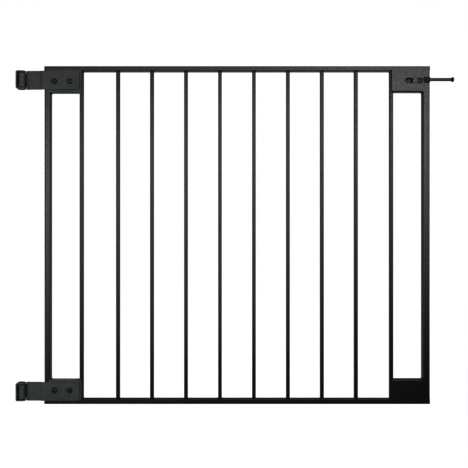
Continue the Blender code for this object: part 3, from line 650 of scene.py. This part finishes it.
def hinge_strap(node, pin, bolts):
    at = Box(node)
    path, knuckle_points = strap_path(pin, at)
    full = at.size.z / 2
    narrow = KNUCKLE_HALF_TALL
    halves = []
    for i, (x, _) in enumerate(path):
        rise = 0
        if i >= knuckle_points:
            rise = smooth_step(x, *(pin.middle.x + away for away in STRAP_RISE))
        past = max(0.0, x - (at.high.x - STRAP_CORNER))
        trim = STRAP_CORNER - math.sqrt(max(0.0, STRAP_CORNER**2 - past**2))
        halves.append(narrow + (full - narrow) * rise - trim)
    strap = ribbon(node + "_plate", path, halves, STRAP_THICK, facing_z((0, 0, at.middle.z)))
    for bolt in bolts:
        drill(strap, facing_back((bolt.middle.x, 0, bolt.middle.z)), BOLT_RADIUS + GAP, 0.006)
    piece(strap, "hinge", "gate", node, rounding=STRAP_EDGE, segments=4)


def hinge_bushing(node, pin, side):
    """A flanged nylon bush, with a lead-in on its sleeve.

    side is 1 on top of the knuckle, -1 below it.
    """
    at = Box(node)
    bore = shank_radius(pin) + RUNNING_FIT
    tall = at.size.z
    flange = at.size.x / 2
    sleeve = bore + BUSH_WALL
    soft = 0.0003
    profile = [(bore, tall - soft), (bore + soft, tall)]
    profile += [(flange - soft, tall), (flange, tall - soft)]
    profile += [(flange, tall - BUSH_FLANGE_THICK), (sleeve, tall - BUSH_FLANGE_THICK)]
    profile += [(sleeve, soft), (sleeve - soft, 0), (bore, 0)]
    place = facing_z((at.middle.x, at.middle.y, at.low.z if side > 0 else at.high.z))
    if side < 0:
        place = place @ Matrix.Rotation(math.pi, 4, "X")
    piece(turned(node + "_flange", profile, place, 64, ring=True), "nylon", "gate", node)


def hinge_bolt(node):
    """A domed socket-head bolt. Its local Z runs out of the head, towards the front."""
    at = Box(node)
    head = at.size.x / 2
    crown = -at.low.y
    seat = crown - BOLT_HEAD_TALL
    end = -at.high.y
    flat = SOCKET + 0.0006
    rim = chamfer = 0.0005
    profile = [(0, crown)]
    for degrees in range(0, 91, 10):
        angle = math.radians(degrees)
        profile.append((flat + (head - flat) * math.sin(angle),
                        seat + rim + (BOLT_HEAD_TALL - rim) * math.cos(angle)))
    profile += [(head, seat), (BOLT_RADIUS, seat), (BOLT_RADIUS, end + chamfer)]
    profile += [(BOLT_RADIUS - chamfer, end), (0, end)]
    bolt = turned(node + "_turned", profile, facing_front((at.middle.x, 0, at.middle.z)), 64)
    socket_place = facing_front((at.middle.x, at.low.y, at.middle.z))
    cut(bolt, extruded(node + "_socket", [circle(SOCKET, 6)], 2 * SOCKET_DEEP, socket_place))
    piece(bolt, "bolt", "gate", node, rounding=0.00018, segments=2)


def washer(node):
    at = Box(node)
    outer, soft = at.size.x / 2, 0.00025
    inner = BOLT_RADIUS + GAP
    low, high = at.low.y, at.high.y
    profile = [(inner, high), (outer - soft, high), (outer, high - soft), (outer, low + soft)]
    profile += [(outer - soft, low), (inner, low)]
    place = facing_back((at.middle.x, 0, at.middle.z))
    piece(turned(node + "_turned", profile, place, 64, ring=True), "steel", "gate", node)


def cap_nut(node):
    """A chamfered hexagon under a dome, bored from the washer's side."""
    at = Box(node)
    low = at.low.y
    across = at.size.x / 2
    x, z = at.middle.x, at.middle.z
    hexagon = extruded(node + "_hexagon", [circle(across, 6)], NUT_TALL,
                       facing_back((x, low + NUT_TALL / 2, z)))
    chamfer, flats = 0.0007, across * math.cos(math.radians(30))
    outside = across + 0.0002
    cone = [(0, NUT_TALL), (flats, NUT_TALL), (outside, NUT_TALL - chamfer)]
    cone += [(outside, chamfer), (flats, 0), (0, 0)]
    combine(hexagon, turned(node + "_cone", cone, facing_back((x, low, z))), "INTERSECT")
    dome_radius, rise = flats - 0.0004, at.high.y - low - NUT_TALL
    angles = [math.radians(a) for a in range(0, 91, 9)]
    dome = [(dome_radius * math.sin(a), rise * math.cos(a)) for a in angles]
    dome += [(dome_radius, -OVERLAP), (0, -OVERLAP)]
    combine(hexagon, turned(node + "_dome", dome, facing_back((x, low + NUT_TALL, z))), "UNION")
    drill(hexagon, facing_back((x, low, z)), BOLT_RADIUS + GAP, NUT_TALL + GAP)
    piece(hexagon, "steel", "gate", node, rounding=0.0002, segments=2)


def hinge(prefix):
    pin_node = f"{prefix}_hinge_pin"
    pin = Box(pin_node)
    ends = ("outer", "inner")
    bolts = [Box(f"{prefix}_hinge_bolt_{end}") for end in ends]
    wall_bracket(f"{prefix}_wall_bracket", pin)
    hinge_pin(pin_node)
    hinge_strap(f"{prefix}_hinge_strap", pin, bolts)
    hinge_bushing(f"{prefix}_hinge_bushing_top", pin, 1)
    hinge_bushing(f"{prefix}_hinge_bushing_bottom", pin, -1)
    for end in ends:
        hinge_bolt(f"{prefix}_hinge_bolt_{end}")
        washer(f"{prefix}_hinge_washer_{end}")
        cap_nut(f"{prefix}_hinge_nut_{end}")


# ---------- frame


def tube(name, width, height, wall, corner, length, place):
    outer = rounded_rectangle(width, height, corner)
    inner_corner = max(corner - wall, 0.0004)
    inner = rounded_rectangle(width - 2 * wall, height - 2 * wall, inner_corner, 3)
    return extruded(name, [outer, inner], length, place)


def rail(node):
    at = Box(node)
    made = tube(node + "_tube", at.size.y, at.size.z, TUBE_WALL, TUBE_CORNER, at.size.x,
                facing_x(at.middle))
    piece(made, "frame", "gate", node)


def rail_cap(node, side):
    """A moulded plug with a crowned head; side is -1 at the hinge side, 1 at the latch side."""
    at = Box(node)
    inner_x = at.high.x - CAP_HEAD if side > 0 else at.low.x + CAP_HEAD
    outer_x = at.high.x if side > 0 else at.low.x
    ends = sorted((inner_x, outer_x))
    head = box(node + "_head", (ends[0], at.low.y, at.low.z), (ends[1], at.high.y, at.high.z),
               0.0006, 4)
    inset = TUBE_WALL + GAP
    far_x = at.low.x if side > 0 else at.high.x
    ends = sorted((far_x, inner_x + side * OVERLAP / 2))
    plug = box(node + "_plug", (ends[0], at.low.y + inset, at.low.z + inset),
               (ends[1], at.high.y - inset, at.high.z - inset), MOULDED_EDGE)
    piece(combine(head, plug, "UNION"), "nylon", "gate", node)


def upright(node, finish, wall, corner, notch=None):
    """A post or a bar. It reaches the rails, where its welds hold it."""
    at = Box(node)
    made = tube(node + "_tube", at.size.x, at.size.y, wall, corner, at.size.z + 2 * GAP,
                facing_z(at.middle))
    if notch:
        cut(made, box(node + "_notch", *notch))
    piece(made, finish, "gate", node, rounding=FOLDED_EDGE if notch else 0)


def end_welds(node, corner):
    """A bead around each end of an upright, where it meets a rail."""
    at = Box(node)
    outline = rounded_rectangle(at.size.x, at.size.y, corner, 4, (at.middle.x, at.middle.y))
    beads = [bead(node + "_bead", [(x, y, z) for x, y in outline], closed=True)
             for z in (at.low.z, at.high.z)]
    piece(joined(node + "_welds", beads), "bar", "gate")


def corner_box(node, bar_node, post_node, top):
    """A folded U of sheet between an end bar and its post: front, floor (or roof) and back."""
    at, bar, post = Box(node), Box(bar_node), Box(post_node)
    side = 1 if post.middle.x > bar.middle.x else -1
    low_x, high_x = at.low.x - GAP * (side < 0), at.high.x + GAP * (side > 0)
    away = -1 if top else 1  # from the rail towards the gate's middle
    rail_z = at.high.z + GAP if top else at.low.z - GAP
    floor = at.size.z + GAP - SHEET / 2
    front, back = FRONT_Y + SHEET / 2, BACK_Y - SHEET / 2
    path = [(0, front)]
    path += arc((floor - BOX_BEND, front + BOX_BEND), BOX_BEND, 270, 360, 10)
    path += arc((floor - BOX_BEND, back - BOX_BEND), BOX_BEND, 0, 90, 10)
    path += [(0, back)]
    place = axes((0, 0, away), (0, 1, 0), (-away, 0, 0), ((low_x + high_x) / 2, 0, rail_z))
    folded = ribbon(node + "_sheet", path, [(high_x - low_x) / 2] * len(path), SHEET, place)
    reach = Vector((GAP / 2, GAP / 2, 2 * at.size.z))
    return cut(folded, box(node + "_bar_clearance", bar.low - reach, bar.high + reach))


def corner_welds(node, finish, bar_node, post_node, top):
    """Fillets across the box's floor at the bar and the post, and beads behind the bar's faces."""
    at, bar, post = Box(node), Box(bar_node), Box(post_node)
    side = 1 if post.middle.x > bar.middle.x else -1
    floor_z = at.low.z if top else at.high.z
    away = 1 if top else -1  # from the floor back towards the rail
    sunk = 0.0006
    z = floor_z + away * sunk
    post_face = post.low.x if side > 0 else post.high.x
    bar_face = bar.high.x if side > 0 else bar.low.x
    inset = BEAD_LARGE * 0.7
    post_path = [(post_face, FRONT_Y + inset, z), (post_face, BACK_Y - inset, z)]
    bar_path = [(bar_face, bar.low.y, z), (bar_face, bar.high.y, z)]
    beads = [bead(node + "_bead", post_path, BEAD_LARGE),
             bead(node + "_bead", bar_path, BEAD_LARGE * 0.8)]
    radius, nearer, behind, bend = 0.0014, 0.0002, 0.0008, 0.0035
    edge_x = at.low.x + nearer if side > 0 else at.high.x - nearer
    rail_z = at.high.z if top else at.low.z
    for y in (FRONT_Y + SHEET + behind, BACK_Y - SHEET - behind):
        edge = [(edge_x, y, floor_z + away * bend), (edge_x, y, rail_z)]
        beads.append(bead(node + "_bead", edge, radius))
    piece(joined(node + "_welds", beads), finish, "gate")


def ground_seam(name, low, high):
    """A weld ground flush: strips over the groove between these (x, z) corners, front and back."""
    sides = ((FRONT_Y + SEAM_SUNK, FRONT_Y + SHEET), (BACK_Y - SHEET, BACK_Y - SEAM_SUNK))
    return [box(name, (low[0], front, low[1]), (high[0], back, high[1])) for front, back in sides]


def post_seams(node):
    """The ground welds between a post's ends and the rails."""
    post = Box(node)
    strips = []
    for z in (post.low.z, post.high.z):
        strips += ground_seam(node + "_seam", (post.low.x + SEAM_SHORT, z - SEAM),
                              (post.high.x - SEAM_SHORT, z + SEAM))
    piece(joined(node + "_seams", strips), "frame", "gate")


def box_seams(node, finish, post_node, top):
    """The ground welds from a corner box to its rail and its post."""
    at, post = Box(node), Box(post_node)
    side = 1 if post.middle.x > at.middle.x else -1
    rail_z = at.high.z if top else at.low.z
    post_x = post.low.x if side > 0 else post.high.x
    strips = ground_seam(node + "_seam", (at.low.x, rail_z - SEAM), (at.high.x, rail_z + SEAM))
    reach = (-SEAM, POST_CORNER) if side > 0 else (-POST_CORNER, SEAM)
    strips += ground_seam(node + "_seam", (post_x + reach[0], at.low.z + SEAM_SHORT),
                          (post_x + reach[1], at.high.z - SEAM_SHORT))
    piece(joined(node + "_seams", strips), finish, "gate")


def hinge_corner_box(prefix, top):
    node = f"{prefix}_hinge_corner_box"
    made = corner_box(node, "bar_01", "hinge_side_post", top)
    for end in ("outer", "inner"):
        bolt = Box(f"{prefix}_hinge_bolt_{end}")
        drill(made, facing_back((bolt.middle.x, MID_Y, bolt.middle.z)), BOLT_RADIUS + GAP, 0.02)
    piece(made, "hinge", "gate", node, rounding=FOLDED_EDGE)


# ---------- latch

COVER_SCREWS = ("latch_cover_screw_upper", "latch_cover_screw_lower")


def latch_housing():
    """The latch-side upper corner box, with a thumb slot in front and a service window behind."""
    node = "latch_housing"
    made = corner_box(node, "bar_10", "latch_side_post", True)
    at, tray, cover = Box(node), Box("latch_guide"), Box("latch_back_cover")
    z = Box("latch_slider").middle.z
    outline = arc((RIGHT - SLOT_START + SLOT_RADIUS, 0), SLOT_RADIUS, 90, 270, 32)
    outline += [(at.high.x + 2 * OVERLAP, side * SLOT_RADIUS) for side in (-1, 1)]
    slot_place = facing_front((0, FRONT_Y + SHEET / 2, z))
    cut(made, extruded(node + "_slot", [outline], 0.006, slot_place))
    clear = Vector((2 * GAP, 0, 2 * GAP))
    low, high = tray.low - clear, tray.high + clear
    low.y, high.y = BACK_Y - 2 * SHEET, BACK_Y + SHEET
    cut(made, box(node + "_window", low, high))
    for screw in COVER_SCREWS:
        hole = (cover.middle.x, BACK_Y, Box(screw).middle.z)
        drill(made, facing_back(hole), SCREW_RADIUS + GAP, 2 * SHEET)
    piece(made, "frame", "gate", node, rounding=FOLDED_EDGE)


def latch_guide():
    node = "latch_guide"
    at, slider = Box(node), Box("latch_slider")
    half = slider.size.z / 2 + GAP
    tray = box(node + "_tray", at.low, at.high, 0.0006)
    pocket_low = (at.low.x + TRAY_END, at.low.y - OVERLAP, at.middle.z - half)
    pocket_high = (at.high.x + OVERLAP, slider.high.y + GAP, at.middle.z + half)
    cut(tray, box(node + "_pocket", pocket_low, pocket_high))
    piece(tray, "nylon", "gate", node, rounding=0.0002, segments=2)


def return_spring():
    """A compression spring with its end turns closed; the real one shortens as the slider comes
    back, but this coil is built at one length.
    """
    node = "return_spring"
    at = Box(node)
    start, end = at.low.x + SPRING_WIRE, at.high.x - SPRING_WIRE
    per_turn = 24
    closed, free = 0.03, 0.94  # shares of the length in an end turn, and in all turns between
    count = SPRING_TURNS * per_turn
    points = []
    for i in range(count + 1):
        angle = 2 * math.pi * i / per_turn
        turn = i / per_turn
        between = min(max((turn - 1) / (SPRING_TURNS - 2), 0), 1)
        share = closed * min(turn, 1) + free * between
        share += closed * min(max(turn - SPRING_TURNS + 1, 0), 1)
        points.append((start + (end - start) * share,
                       SPRING_RADIUS * math.cos(angle), SPRING_RADIUS * math.sin(angle)))
    coil = wire(node + "_coil", points, SPRING_WIRE, facing_z((0, at.middle.y, at.middle.z)))
    made = piece(coil, "spring", "gate", node)
    made.modifiers.clear()
    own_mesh(made)


def latch_rod_bushing():
    """The bush in the post's notch: proud of the front, with a short nose around the rod."""
    node = "latch_rod_bushing"
    at, post = Box(node), Box("latch_side_post")
    place = facing_x((post.high.x, ROD.middle.y, ROD.middle.z))
    bushing = box(node + "_block", at.low, (post.high.x, at.high.y, at.high.z), 0.0016, 5)
    wide, nose, root = NOSE_RADIUS, at.high.x - post.high.x, -0.004
    profile = [(0, nose), (ROD_RADIUS + 0.0005, nose), (ROD_RADIUS + 0.0008, nose - 0.0002)]
    profile += [(wide - 0.0002, 0.0003), (wide, 0), (wide, root), (0, root)]
    combine(bushing, turned(node + "_nose", profile, place), "UNION")
    drill(bushing, place, ROD_RADIUS + RUNNING_FIT, 0.03, 48)
    piece(bushing, "nylon", "gate", node, rounding=0.0002, segments=2)


def latch_slider():
    """The sliding block: a ribbed thumb knob, and a finger scoop on each side of it."""
    node = "latch_slider"
    at = Box(node)
    z = at.middle.z
    knob = [RIGHT - distance for distance in KNOB]
    knob_x = sum(knob) / 2
    body_front = at.low.y + KNOB_PROUD
    slider = box(node + "_block", (at.low.x, body_front, at.low.z), at.high, MOULDED_EDGE)
    outline = rounded_rectangle(knob[1] - knob[0], 2 * KNOB_HALF_TALL, KNOB_CORNER, 10)
    depth = body_front + 2 * OVERLAP - at.low.y
    place = facing_front((knob_x, at.low.y + depth / 2, z))
    combine(slider, extruded(node + "_knob", [outline], depth, place), "UNION")
    lip, beside, over, corner = 0.0015, 0.0006, 0.006, 0.0015
    spans = ((at.low.x + lip, knob[0] - beside), (knob[1] + beside, at.high.x - lip))
    for (left, right), deep in zip(spans, SCOOP_DEEP):
        scoop_low = (left, body_front - over, z - SCOOP_HALF_TALL)
        scoop_high = (right, body_front + deep, z + SCOOP_HALF_TALL)
        cut(slider, box(node + "_scoop", scoop_low, scoop_high, corner, 4))
    groove, half, straight = 0.0003, 0.004, 0.0036
    profile = [(0, half), (groove, straight), (groove, -straight), (0, -half)]
    for i in range(3):
        at_groove = (knob_x + (i - 1) * KNOB_RIB_PITCH, at.low.y - 0.0001, z)
        cut(slider, turned(node + "_groove", profile, facing_z(at_groove), 16))
    drill(slider, facing_x((at.high.x, ROD.middle.y, ROD.middle.z)), ROD_RADIUS + GAP,
          at.high.x - ROD.low.x + GAP)
    spring = Box("return_spring")
    drill(slider, facing_x((at.low.x, spring.middle.y, z)), SPRING_RADIUS + SPRING_WIRE + GAP,
          spring.high.x - at.low.x + GAP)
    pin = Box("latch_cross_pin")
    drill(slider, facing_z((pin.middle.x, ROD.middle.y, z)), pin.size.x / 2 + GAP, 0.02)
    piece(slider, "slider", "latch", node, rounding=0.00025)
    slider.data.materials.append(FINISHES["knob"][0])
    for face in slider.data.polygons:
        if face.center.y < body_front - MOULDED_EDGE:
            face.material_index = 1  # the knob stands proud; its faces are glossier, as if polished by use, and lighter, a painted highlight


def latch_rod():
    node = "latch_rod"
    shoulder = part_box("latch_rod_tip")[0].x - GAP
    soft = 0.0004
    spigot = 0.002
    profile = [(0, ROD.high.x), (spigot, ROD.high.x), (spigot, shoulder)]
    profile += [(ROD_RADIUS - soft, shoulder), (ROD_RADIUS, shoulder - soft)]
    profile += [(ROD_RADIUS, ROD.low.x + soft), (ROD_RADIUS - soft, ROD.low.x), (0, ROD.low.x)]
    rod = turned(node + "_turned", profile, facing_x((0, ROD.middle.y, ROD.middle.z)), 64)
    pin = Box("latch_cross_pin")
    drill(rod, facing_z((pin.middle.x, ROD.middle.y, ROD.middle.z)), pin.size.x / 2 + GAP, 0.01)
    piece(rod, "rod", "latch", node)


def latch_rod_tip():
    """A domed mushroom head with a waist behind it."""
    node = "latch_rod_tip"
    at = Box(node)
    radius = at.size.y / 2
    back, front = at.low.x, at.high.x
    dome = back + 0.0030
    spigot, socket_end = 0.0023, back + 0.004
    angles = [math.radians(a) for a in range(0, 91, 6)]
    profile = [(radius * math.sin(a), dome + (front - dome) * math.cos(a)) for a in angles]
    profile += [(radius, dome - 0.0006), (radius - 0.0002, dome - 0.0009)]
    profile += [(ROD_RADIUS + 0.0006, back + 0.0003), (ROD_RADIUS + 0.0003, back)]
    profile += [(spigot, back), (spigot, socket_end), (0, socket_end)]
    tip = turned(node + "_turned", profile, facing_x((0, ROD.middle.y, ROD.middle.z)), 64)
    piece(tip, "nylon", "latch", node)


def latch_cross_pin():
    node = "latch_cross_pin"
    at = Box(node)
    radius, soft = at.size.x / 2, 0.0003
    half = at.size.z / 2
    profile = [(0, half), (radius - soft, half), (radius, half - soft), (radius, soft - half)]
    profile += [(radius - soft, -half), (0, -half)]
    piece(turned(node + "_turned", profile, facing_z(at.middle), 32), "steel", "latch", node)


def latch_back_cover():
    """A thin moulded cover with a raised rim and a sunk panel."""
    node = "latch_back_cover"
    at = Box(node)
    place = facing_back(at.middle)
    plate = rounded_rectangle(at.size.x, at.size.z, 0.004, 10)
    heights = [Box(screw).middle.z - at.middle.z for screw in COVER_SCREWS]
    holes = [circle(SCREW_RADIUS + GAP, 32, (0, height)) for height in heights]
    cover = extruded(node + "_plate", [plate] + holes, at.size.y, place)
    panel = rounded_rectangle(at.size.x - 0.008, at.size.z - 0.018, 0.003, 8)
    sunk = facing_back((at.middle.x, at.high.y, at.middle.z))
    cut(cover, extruded(node + "_panel", [panel], 0.0012, sunk))
    piece(cover, "nylon", "gate", node, rounding=0.00035)


PAN_HEAD = (  # share of the head's radius, and how far below the top
    (0, 0), (0.45, 0), (0.72, 0.0002), (0.9, 0.0006), (1, 0.0011))


def cover_screw(node):
    """A pan-head screw with a cross recess. Its local Z runs out of the head, towards the back."""
    at = Box(node)
    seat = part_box("latch_back_cover")[1].y + GAP
    top = at.high.y
    head = at.size.x / 2
    profile = [(head * wide, top - drop) for wide, drop in PAN_HEAD]
    profile += [(head, seat), (SCREW_RADIUS, seat)]
    plain, point, pitch, groove = 0.001, 0.0022, 0.0007, 0.0004
    z = seat - plain
    while z > at.low.y + point:
        profile += [(SCREW_RADIUS, z), (SCREW_RADIUS - groove, z - pitch / 2)]
        z -= pitch
    profile += [(0, at.low.y)]
    screw = turned(node + "_turned", profile, facing_back((at.middle.x, 0, at.middle.z)), 48)
    long, short, deep = 0.0028, 0.0006, 0.0011
    for wide, tall in ((long, short), (short, long)):
        low = (at.middle.x - wide / 2, top - deep, at.middle.z - tall / 2)
        high = (at.middle.x + wide / 2, top + OVERLAP, at.middle.z + tall / 2)
        cut(screw, box(node + "_recess", low, high))
    piece(screw, "steel", "gate", node)


# ---------- the gate

hinge("upper")
hinge("lower")
rail("top_rail")
rail("bottom_rail")
for rail_name in ("top_rail", "bottom_rail"):
    rail_cap(f"{rail_name}_cap_hinge_side", -1)
    rail_cap(f"{rail_name}_cap_latch_side", 1)

bush = Box("latch_rod_bushing")
post_box = Box("latch_side_post")
notch_low = (post_box.low.x - OVERLAP, FRONT_Y - OVERLAP, bush.low.z - GAP)
notch_high = (post_box.high.x + OVERLAP, bush.high.y + GAP, bush.high.z + GAP)
upright("hinge_side_post", "frame", TUBE_WALL, POST_CORNER)
upright("latch_side_post", "frame", TUBE_WALL, POST_CORNER, (notch_low, notch_high))
for number in range(1, 11):
    upright(f"bar_{number:02d}", "bar", BAR_WALL, BAR_CORNER)
    end_welds(f"bar_{number:02d}", BAR_CORNER)

hinge_corner_box("upper", True)
hinge_corner_box("lower", False)
piece(corner_box("lower_latch_corner_box", "bar_10", "latch_side_post", False),
      "frame", "gate", "lower_latch_corner_box", rounding=FOLDED_EDGE)
latch_housing()
CORNERS = (  # a corner box, its finish, its bar and post, and whether it is at the top
    ("upper_hinge_corner_box", "hinge", "bar_01", "hinge_side_post", True),
    ("lower_hinge_corner_box", "hinge", "bar_01", "hinge_side_post", False),
    ("latch_housing", "frame", "bar_10", "latch_side_post", True),
    ("lower_latch_corner_box", "frame", "bar_10", "latch_side_post", False),
)
for corner_row in CORNERS:
    corner_welds(*corner_row)
post_seams("hinge_side_post")
post_seams("latch_side_post")
for box_node, box_finish, _, post_node, at_top in CORNERS:
    box_seams(box_node, box_finish, post_node, at_top)

latch_guide()
return_spring()
latch_rod_bushing()
latch_slider()
latch_rod()
latch_rod_tip()
latch_cross_pin()
latch_back_cover()
for screw_node in COVER_SCREWS:
    cover_screw(screw_node)


# ---------- studio

CAMERA_AWAY = 1.7  # from the frame's front
CAMERA_SHIFT_X = -0.0069  # from the middle of the frame
CAMERA_SHIFT_Z = 0.0024
LENS = 58.98
FLOOR_BELOW = 0.05
FRAME_MIDDLE = Vector(((LEFT + RIGHT) / 2, FRONT_Y, (BOTTOM_Z + TOP_Z) / 2))
# The studio's glow by direction: how bright, and the ramps that shape it, each as its axis,
# where it starts and ends, and what it says there. X points to the latch side, Y backwards.
GLOWS = (
    # all round, dimmer towards the front, the hinge side and above
    (0.5, (("X", -0.28, -0.12, 0.25, 1), ("Y", 0, 0.4, 0.06, 1), ("Z", 0.12, 0.22, 1, 0.12))),
    # a wall behind on the latch side, for the posts' and bars' sides that face it
    (1.1, (("X", 0.45, 0.60, 0, 1), ("Y", 0.25, 0.40, 0, 1), ("Z", 0.50, 0.80, 1, 0.3))),
    # a brighter one on the hinge side
    (3.5, (("X", -0.60, -0.45, 1, 0), ("Y", 0.25, 0.40, 0, 1), ("Z", 0.50, 0.80, 1, 0.3))),
    # overhead, dimmer in front
    (1.5, (("Z", 0.45, 0.65, 0, 1), ("Y", -0.3, 0.2, 0.2, 1))),
    # low down behind
    (2.0, (("Y", 0.35, 0.50, 0, 1), ("Z", -0.55, -0.40, 1, 0))),
)
SOFTBOX_Y = -1.95
SOFTBOX_WIDE = 3.0
SOFTBOX_RADIANCE = 6.6
SOFTBOX_ROLL = math.radians(9.5)
SOFTBOX_STRIPS = 5
SOFTBOX_STRIP = 0.32
SOFTBOX_LOW = -0.42  # its lower edge
SOFTBOX_DARK = -0.39  # where it starts to glow
SOFTBOX_FULL = 0.70  # and where it is at its brightest
FLOOR_HALF = 4
GAMMA = 0.56  # deepens the dark tones and leaves white alone


def add_camera():
    data = bpy.data.cameras.new("camera")
    data.lens = LENS
    data.sensor_width = 36
    data.clip_end = 20
    camera = bpy.data.objects.new("camera", data)
    camera.location = FRAME_MIDDLE + Vector((CAMERA_SHIFT_X, -CAMERA_AWAY, CAMERA_SHIFT_Z))
    camera.rotation_euler = (math.radians(90), 0, 0)
    bpy.context.scene.collection.objects.link(camera)
    bpy.context.scene.camera = camera


def add_light(name, at, aim, size, radiance, roll=0.0):
    data = bpy.data.lights.new(name, "AREA")
    data.shape = "RECTANGLE"
    data.size, data.size_y = size
    data.energy = radiance * math.pi * size[0] * size[1]
    light = bpy.data.objects.new(name, data)
    facing = (Vector(aim) - Vector(at)).to_track_quat("-Z", "Y").to_matrix().to_4x4()
    light.matrix_world = Matrix.Translation(at) @ facing @ Matrix.Rotation(roll, 4, "Z")
    bpy.context.scene.collection.objects.link(light)


def add_softbox():
    """A wide softbox behind the camera, darker downwards and a little higher on the latch side."""
    middle = Vector((FRAME_MIDDLE.x, SOFTBOX_Y, 0))
    tilt = Matrix.Rotation(-SOFTBOX_ROLL, 3, "Y")
    for i in range(SOFTBOX_STRIPS):
        rise = SOFTBOX_LOW + SOFTBOX_STRIP * (i + 0.5)
        share = min(1.0, (rise - SOFTBOX_DARK) / (SOFTBOX_FULL - SOFTBOX_DARK))
        at = middle + tilt @ Vector((0, 0, rise))
        add_light(f"softbox_{i}", at, at + Vector((0, 1, 0)), (SOFTBOX_WIDE, SOFTBOX_STRIP),
                  SOFTBOX_RADIANCE * share, SOFTBOX_ROLL)


def add_world():
    """A white backdrop for the camera, and a dim studio for the reflections."""
    world = bpy.data.worlds.new("studio")
    world.use_nodes = True
    made = Nodes(world.node_tree)
    seen = made.tree.nodes["Background"]
    made.set(seen, {"Color": (1, 1, 1, 1), "Strength": 1.0})
    where = made.add("TexCoord").outputs["Generated"]
    direction = made.add("SeparateXYZ", {"Vector": where}).outputs
    total = 0
    for strength, ramps in reversed(GLOWS):
        for axis, start, end, low, high in reversed(ramps):
            ramp = made.spread(direction[axis], low, high, start, end)
            strength = made.math("MULTIPLY", ramp, strength)
        total = made.math("ADD", strength, total)
    dim = made.add("Background", {"Color": (1, 1, 1, 1), "Strength": total})
    mix = made.add("MixShader", {"Fac": made.add("LightPath").outputs["Is Camera Ray"],
                                 1: dim.outputs["Background"], 2: seen.outputs["Background"]})
    made.set(made.tree.nodes["World Output"], {"Surface": mix.outputs["Shader"]})
    bpy.context.scene.world = world


def add_floor():
    """A pale studio floor under the gate, which its own glow keeps white."""
    mesh = bpy.data.meshes.new("floor")
    corners = ((-1, -1), (1, -1), (1, 1), (-1, 1))
    mesh.from_pydata([(FLOOR_HALF * x, FLOOR_HALF * y, 0) for x, y in corners], [], [(0, 1, 2, 3)])
    at = (FRAME_MIDDLE.x, 0, BOTTOM_Z - FLOOR_BELOW)
    floor = mesh_object("floor", mesh, Matrix.Translation(at))
    made = Shader("pale_floor")
    made.set(made.surface, {"Base Color": (0.02, 0.02, 0.02, 1), "Roughness": 0.9,
                            "Specular IOR Level": 0.0, "Emission Color": (1, 1, 1, 1),
                            "Emission Strength": 0.99})
    mesh.materials.append(made.material)
    floor.visible_diffuse = False
    floor.visible_glossy = False


add_camera()
add_world()
add_floor()
add_softbox()
for light_row in (  # name, place, aim, size and radiance
        ("latch_key", (1.40, -1.94, 1.02), (1.40, 0, 1.02), (1.2, 0.7), 1.1),
        ("latch_side_panel", (3.0, -0.4, 0.6), (0, -0.4, 0.6), (2.2, 1.6), 5),
        ("middle_fill", (0.40, -1.95, 0.09), (0.40, 0, 0.09), (0.62, 0.32), 5.5),
        ("hinge_fill", (-0.62, -0.55, 0.0), (0.02, 0, 0.06), (0.3, 0.3), 9)):
    add_light(*light_row)
bpy.context.scene.view_settings.view_transform = "Standard"
bpy.context.scene.view_settings.gamma = GAMMA
